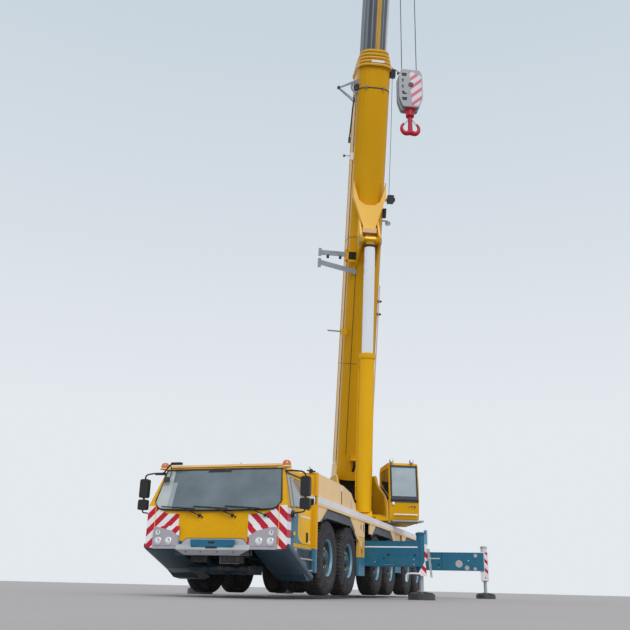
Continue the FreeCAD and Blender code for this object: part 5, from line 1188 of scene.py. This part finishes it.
def make_boom():
    """Seams, cable, brackets, lamps, camera and band clamps of the base section."""
    piece = Piece("boom_fittings", "boom", BOOM)
    for low, grow in ((8.47, 0.006), (4.2, 0.002)):
        ring = [(x, y) for x, y in boom_ring(grow)]
        piece.prism("top", ring, low - 0.008, low + 0.008, "black")
    for sign in (1, -1):
        for y in (-0.60, 0.20):
            x = sign * (0.555 * 1.0 + 0.002)
            piece.box(sorted((x, x + sign * 0.010)), (y - 0.010, y + 0.010), (0.75, 14.25), "boom paint in light and shade")
    piece.tube([(-0.315, -0.992, z) for z in (1.2, 5, 8.4)], 0.009, "hose")
    piece.tube([(-0.564, -0.52, z) for z in (0.9, 5, 9, 13.3)], 0.009, "hose")
    for k in range(12):
        piece.box((-0.575, -0.550), (-0.55, -0.49), (1.2 + 1.05 * k, 1.25 + 1.05 * k), "trim")
    piece.bar((-0.60, -0.96, 7.85), (-1.56, -0.96, 7.86), 0.07, 0.16, "arm grey", up=(0, 0, 1))
    piece.bar((-0.30, -1.00, 7.27), (-1.54, -0.98, 7.53), 0.06, 0.16, "arm grey", up=(0, 0, 1))
    for low, high in ((7.36, 7.66), (7.74, 8.00)):
        piece.box((-1.60, -1.50), (-1.02, -0.92), (low, high), "arm grey")
    for x in (-1.28, -0.86):
        piece.rod((x, -0.96, 7.68), (x, -0.96, 7.80), 0.045, "trim")
    for low, high in ((7.60, 7.68), (7.94, 8.02)):
        piece.box((-0.68, -0.28), (-1.03, -0.88), (low, high), "yellow")
    piece.box((-0.68, -0.60), (-1.03, -0.88), (7.60, 8.02), "yellow")
    piece.box((-0.58, -0.34), (-1.005, -0.95), (7.69, 7.93), "machine")
    piece.bar((-0.50, -0.98, 5.25), (-1.15, -0.98, 5.27), 0.05, 0.05, "grey")
    piece.box((-0.70, -0.50), (-1.02, -0.90), (5.17, 5.35), "yellow")
    # A pale plate on the bracket below the belly: painted light.
    piece.prism("side", [(-1.06, 8.50), (-1.47, 8.56), (-1.47, 8.72), (-1.06, 8.76)], -0.24, 0.24, "glare yellow")
    piece.tube([(0.562, -0.52, z) for z in (1.0, 6, 14.2)], 0.008, "hose", sides=6)
    piece.box((-0.15, 0.08), (-1.10, -1.02), (1.00, 1.16), "yellow")
    piece.rod((-0.17, -1.08, 1.04), (0.10, -1.08, 1.04), 0.05, "yellow")
    for k in range(3):
        lug_hose = [(-0.06 + 0.03 * k, -1.09, 1.02), (-0.05 + 0.03 * k, -1.10, 0.85), (-0.08 + 0.03 * k, -0.98, 0.60),
                    (-0.10 + 0.05 * k, -0.82, 0.40)]
        piece.tube(smooth_path(lug_hose), 0.018, "hose")
    piece.box((-0.44, 0.44), (-0.80, -0.12), (-0.42, 0.74), "machine")
    for k in range(5):
        piece.box((-0.40 + 0.16 * k, -0.32 + 0.16 * k), (-0.84, -0.80), (0.26, 0.66), "black")
    piece.tube(smooth_path([(-0.40, -0.86, 0.60), (-0.20, -0.88, 0.50), (0.10, -0.87, 0.54), (0.38, -0.85, 0.42)]), 0.02, "hose")
    camera = Piece("boom_lamps", "boom", BOOM)
    camera.box((0.70, 0.90), (-0.78, -0.56), (9.74, 10.02), "trim")
    camera.lathe([(0.075, 0), (0.075, 0.05), (0.055, 0.06), (0, 0.05)], (0.90, -0.67, 9.88), (1, -0.3, 0), "black")
    camera.bar((0.54, -0.64, 9.86), (0.72, -0.64, 9.86), 0.06, 0.10, "grey")
    camera.box((0.555, 0.66), (-0.78, -0.62), (9.22, 9.54), "black")
    camera.lathe([(0.05, 0), (0.090, 0.05), (0.090, 0.10), (0.075, 0.11), (0, 0.10)], (0.74, -0.70, 9.10), (0, -0.6, -1),
                 "grey")
    camera.lathe([(0.075, 0.105), (0.05, 0.118), (0, 0.122)], (0.74, -0.70, 9.10), (0, -0.6, -1), "clear lens")
    camera.bar((0.54, -0.70, 9.12), (0.74, -0.70, 9.12), 0.04, 0.05, "grey")
    camera.done(bevel=0.005)
    reel = Piece("cable_reel", "boom", BOOM)
    reel.lathe([(0.19, -0.04), (0.19, -0.03), (0.15, -0.025), (0.15, 0.025), (0.19, 0.03), (0.19, 0.04), (0.13, 0.04),
                (0.13, -0.04)], (-0.60, -0.70, 13.66), (0.3, 1, 0.2), "arm grey", sides=32, closed=True)
    reel.lathe([(0.12, -0.03), (0.12, 0.03), (0.05, 0.04), (0.05, -0.04)], (-0.58, -0.72, 13.64), (0.3, 1, 0.2), "dark steel",
               sides=24, closed=True)
    for shift in (0.0, 0.20):
        corners = [(-0.60, -0.66 + shift, 13.20), (-1.20, -0.66 + shift * 0.3, 13.60), (-0.56, -0.64 + shift, 13.94)]
        for a, b in zip(corners, corners[1:] + corners[:1]):
            reel.bar(a, b, 0.035, 0.035, "arm grey", up=(0, 1, 0))
    reel.lathe([(0.05, -0.05), (0.05, 0.05)], (-1.20, -0.66, 13.60), (0, 1, 0), "trim")
    reel.tube(smooth_path([(-0.64, -0.68, 13.30), (-0.68, -0.68, 12.9), (-0.70, -0.67, 12.4), (-0.73, -0.66, 11.9)]), 0.026, "hose")
    reel.rod((-0.73, -0.66, 11.72), (-0.73, -0.66, 11.92), 0.04, "trim")
    reel.box((-0.66, -0.55), (-0.66, -0.54), (11.15, 11.40), "white")
    reel.bar((-0.60, -0.60, 11.30), (-0.86, -0.60, 11.28), 0.03, 0.03, "arm grey")
    reel.lathe([(0.03, 0), (0.055, 0.05), (0.04, 0.06), (0, 0.06)], (-0.84, -0.60, 11.28), (-1, 0, 0), "trim")
    reel.box((0.56, 0.74), (-0.72, -0.56), (14.12, 14.40), "black")
    reel.bar((0.58, -0.60, 14.50), (0.86, -0.62, 14.36), 0.03, 0.03, "arm grey")
    reel.lathe([(0.03, 0), (0.06, 0.05), (0.05, 0.07), (0, 0.07)], (0.82, -0.62, 14.34), (0.6, 0, -0.6), "trim")
    for z in (6.36, 5.92):
        reel.lathe([(0.06, 0), (0.05, 0.06), (0.02, 0.13), (0, 0.14)], (0.57, -0.60, z), (1, 0, 0.1), "trim")
    reel.tube([(0.64, -0.66, 14.15), (0.70, -0.66, 12.2), (0.74, -0.66, 10.02)], 0.009, "hose", sides=6)
    reel.tube([(0.565, -0.80, z) for z in (1.0, 4.0, 6.9)], 0.018, "cable grey", sides=8)
    reel.done(bevel=0.004)
    piece.prism("top", boom_ring(0.010), 13.56, 13.60, "trim")
    for x in (-0.30, 0.30):
        piece.box((x - 0.04, x + 0.04), (-1.05, -1.02), (13.54, 13.62), "steel")
    piece.box((-0.18, 0.27), (-1.082, -1.066), (14.44, 14.52), "white")
    for index in range(5):
        inset = -0.05 + index * 0.0295
        low = 14.95 - (5 - index) * 0.13
        # Painted highlight ring on each collar's ridge, painted shade ring at its lower edge.
        piece.prism("top", boom_ring(0.010 - inset), low + 0.070, low + 0.110, "collar highlight")
        piece.prism("top", boom_ring(0.003 - inset), low + 0.002, low + 0.034, "collar shade")
    piece.tube([(0.12, 0.53, z) for z in (0.9, 5, 10, 14.9)], 0.013, "rope")
    for z in (0.9, 14.7):
        piece.lathe([(0.10, -0.03), (0.10, -0.02), (0.07, 0), (0.10, 0.02), (0.10, 0.03), (0.02, 0.03), (0.02, -0.03)],
                    (0.12, 0.45, z), (1, 0, 0), "steel", sides=28, closed=True)
    for sign in (1, -1):
        piece.lathe([(0.19, 0), (0.19, 0.02), (0.15, 0.03), (0, 0.03)], (sign * 0.335, -1.62, 8.27), (sign, 0, 0), "grey",
                    sides=32)
    piece.done(bevel=0.003)

    head = Piece("head_fittings", "boom_tip", BOOM)
    end = 26.95
    for sign in (1, -1):
        head.lathe([(0.12, 0), (0.12, 0.02), (0, 0.022)], (sign * 0.39, -1.35, end + 0.33), (sign, 0, 0), "grey", sides=28)
    head.lathe([(0.18, -0.03), (0.18, -0.02), (0.15, 0), (0.18, 0.02), (0.18, 0.03), (0.03, 0.03), (0.03, -0.03)],
               (0.12, 0.35, end + 0.24), (1, 0, 0), "steel", sides=32, closed=True)
    for sign in (1, -1):
        head.bar((0.12 + sign * 0.06, 0.10, end + 0.08), (0.12 + sign * 0.06, 0.38, end + 0.24), 0.02, 0.08, "grey")
    head.bar((0, -0.2, end + 0.42), (0, -0.9, end + 0.62), 0.05, 0.05, "grey")
    head.done(bevel=0.004)

    top_rope = Piece("top_rope", "boom_tip", BOOM)
    top_rope.tube([(0.12, 0.53, z) for z in (14.96, 20, 27.19)], 0.013, "rope")
    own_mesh(top_rope.done(bevel=0))


def boom_ring(grow):
    """Outline of the base section, grown all round."""
    half = [(0.30, -1.0), (0.58, -0.94), (0.80, -0.80), (0.94, -0.62), (1.0, -0.40), (1.0, 0.74), (0.80, 1.0)]
    right = [(a * (0.555 + grow), b * (0.72 + grow) - 0.3) for a, b in half]
    return right + [(-x, y) for x, y in reversed(right)]


def make_cylinder():
    """Head bolts, wiper ring, a pipe with its clamps and a band on the rod eye of the luffing cylinder."""
    piece = Piece("cylinder_head", "luffing_barrel", CYLINDER)
    piece.lathe([(0.261, 4.86), (0.263, 4.88), (0.263, 4.97), (0.256, 4.985), (0.20, 4.99), (0.195, 5.015), (0.185, 5.018)],
                (0, 0, 0), (0, 0, 1), "yellow", sides=48)
    for angle, x, y in ring_of(16, 0.228):
        piece.lathe([(0.018, 4.985), (0.018, 5.003), (0, 5.004)], (x, y, 0), (0, 0, 1), "steel", sides=6)
    pipe = [(-0.22, 0, 0.5), (-0.260, 0, 0.7), (-0.260, 0, 2.5), (-0.260, 0, 4.5), (-0.245, 0, 4.78)]
    piece.tube(smooth_path(pipe), 0.02, "yellow")
    for z in (0.9, 2.2, 3.5, 4.6):
        piece.box((-0.285, -0.20), (-0.04, 0.04), (z, z + 0.04), "yellow")
    piece.done(bevel=0.004)
    eye = Piece("rod_eye_trim", "luffing_rod", CYLINDER)
    eye.lathe([(0.178, 8.52), (0.186, 8.53), (0.186, 8.60), (0.178, 8.61)], (0, 0, 0), (0, 0, 1), "black", sides=40)
    eye.done(bevel=0.003)


def make_hook():
    """Hook block with striped cheeks, sheaves between them and a forged hook."""
    piece = Piece("hook_block_dressed", "hook_block", HOOK)
    outline = rounded([(-0.25, -0.04), (-0.315, -0.20), (-0.315, -0.90), (-0.22, -1.20), (0.22, -1.20), (0.315, -0.90),
                       (0.315, -0.20), (0.25, -0.04)], 0.06)
    for y0, y1, finish in ((-0.170, -0.125, "grey"), (-0.06, 0.06, "grey"), (0.125, 0.170, "grey")):
        piece.prism("front", outline, y0, y1, finish)
    small = rounded([(-0.20, -0.30), (0.20, -0.30), (0.20, -0.80), (-0.20, -0.80)], 0.12)
    for y0, y1 in ((-0.176, -0.168), (0.168, 0.176)):
        piece.prism("front", rounded([(-0.04, -0.08), (0.29, -0.22), (0.29, -0.88), (0.20, -1.16), (0.02, -1.16)], 0.04),
                    y0, y1, "hook stripes")
        piece.prism("front", small, y0 + 0.002, y1 - 0.002, "grey")
    for k in range(5):
        z = -0.16 - 0.19 * k
        for y in (-0.172, 0.168):
            piece.prism("front", rounded([(-0.25, z), (-0.10, z), (-0.12, z - 0.10), (-0.23, z - 0.10)], 0.02), y, y + 0.004, "machine")
    for y in (-0.0925, 0.0925):
        piece.lathe([(0.27, -0.028), (0.27, -0.02), (0.235, 0), (0.27, 0.02), (0.27, 0.028), (0.05, 0.028), (0.05, -0.028)],
                    (0, y, -0.52), (0, 1, 0), "steel", sides=40, closed=True)
    piece.rod((0, -0.19, -0.52), (0, 0.19, -0.52), 0.07, "dark steel", 24)
    piece.lathe([(0.09, -1.42), (0.11, -1.40), (0.11, -1.24), (0.15, -1.22), (0.15, -1.14)], (0, 0, 0), (0, 0, 1), "red", sides=28)
    piece.tube([(0, 0, -1.38), (0, 0, -1.60), (0, 0, -1.86)], [0.060, 0.058, 0.064], "red", sides=16)
    for sign in (1, -1):
        horn = smooth_path([(0, 0, -1.880), (sign * 0.13, 0, -1.910), (sign * 0.215, 0, -1.835), (sign * 0.225, 0, -1.720),
                            (sign * 0.170, 0, -1.620)])
        sizes = [0.072 - 0.044 * k / (len(horn) - 1) for k in range(len(horn))]
        piece.tube(horn, sizes, "red", sides=16)
        piece.bar((sign * 0.055, -0.01, -1.50), (sign * 0.165, -0.01, -1.66), 0.012, 0.035, "steel")
    piece.done(bevel=0.004, replaces=("hook_block",))

    falls = Piece("rope_falls", "head_sheaves", HOOK)
    for x in (-0.2, 0.2):
        for phase in (0, 1, 2):
            strand = []
            for k in range(160):
                angle = 2 * math.pi * (k / 4 + phase / 3)
                strand.append((x + 0.006 * math.cos(angle), 0.006 * math.sin(angle), -0.04 + (ROPE_FALL + 0.04) * k / 159))
            falls.tube(strand, 0.0075, "rope", sides=5)
    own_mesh(falls.done(bevel=0, replaces=("hoist_rope",)))


# ---------------------------------------------------------------- stage


def make_stage():
    """Pale floor, soft sun and a pale sky that also shows in gloss and glass."""
    data = bpy.data.meshes.new("floor")
    size = 260
    data.from_pydata([(-size, -size, 0), (size, -size, 0), (size, size, 0), (-size, size, 0)], [], [(0, 1, 2, 3)])
    floor = bpy.data.objects.new("floor", data)
    bpy.context.scene.collection.objects.link(floor)
    material = bpy.data.materials.new("pale floor")
    material.use_nodes = True
    g = Graph(material.node_tree, "ShaderNodeOutputMaterial")
    where = g.node("ShaderNodeTexCoord").outputs["Object"]
    shade = g.fit(g.noise(where, 0.35, 6), 0.3, 0.7, 0.0, 1.0)
    colour = g.mix(shade, linear((166, 162, 162)), linear((169, 165, 165)))
    shader = g.node("ShaderNodeBsdfPrincipled")
    g.feed(shader.inputs["Base Color"], colour)
    shader.inputs["Roughness"].default_value = 0.9
    g.feed(g.out.inputs["Surface"], shader.outputs[0])
    data.materials.append(material)

    sun = bpy.data.objects.new("sun", bpy.data.lights.new("sun", "SUN"))
    sun.data.energy, sun.data.angle = 1.3, math.radians(35)
    sun.matrix_world = Vector((0.45, -0.75, 0.85)).to_track_quat("Z", "Y").to_matrix().to_4x4()
    bpy.context.scene.collection.objects.link(sun)

    world = bpy.data.worlds.new("sky")
    world.use_nodes = True
    g = Graph(world.node_tree, "ShaderNodeOutputWorld")
    rays = g.node("ShaderNodeLightPath").outputs
    seen = g.math("ADD", g.math("ADD", rays["Is Camera Ray"], rays["Is Glossy Ray"]), rays["Is Transmission Ray"], clamp=True)
    backdrop, light, both = g.node("ShaderNodeBackground"), g.node("ShaderNodeBackground"), g.node("ShaderNodeMixShader")
    upward = g.split(g.node("ShaderNodeTexCoord").outputs["Generated"])[2]
    sky = g.mix(g.fit(upward, 0.20, 0.66), linear((228, 233, 238)), linear((200, 212, 222)))
    g.feed(backdrop.inputs["Color"], sky)
    backdrop.inputs["Strength"].default_value = 1.0
    light.inputs["Color"].default_value = (0.93, 0.96, 1.0, 1.0)
    light.inputs["Strength"].default_value = 0.78
    g.feed(both.inputs[0], seen)
    g.feed(both.inputs[1], light.outputs[0])
    g.feed(both.inputs[2], backdrop.outputs[0])
    g.feed(g.out.inputs["Surface"], both.outputs[0])
    bpy.context.scene.world = world


make_camera()
make_paints()
paint_nodes()
make_wheels()
make_windscreen()
make_cab_front()
make_cab_roof()
make_mirrors()
make_doors()
make_covers()
make_underbody()
make_tail()
make_outriggers()
make_superstructure()
make_operator_cab()
make_boom()
make_cylinder()
make_hook()
make_stage()
bpy.context.scene.view_settings.view_transform = "Standard"
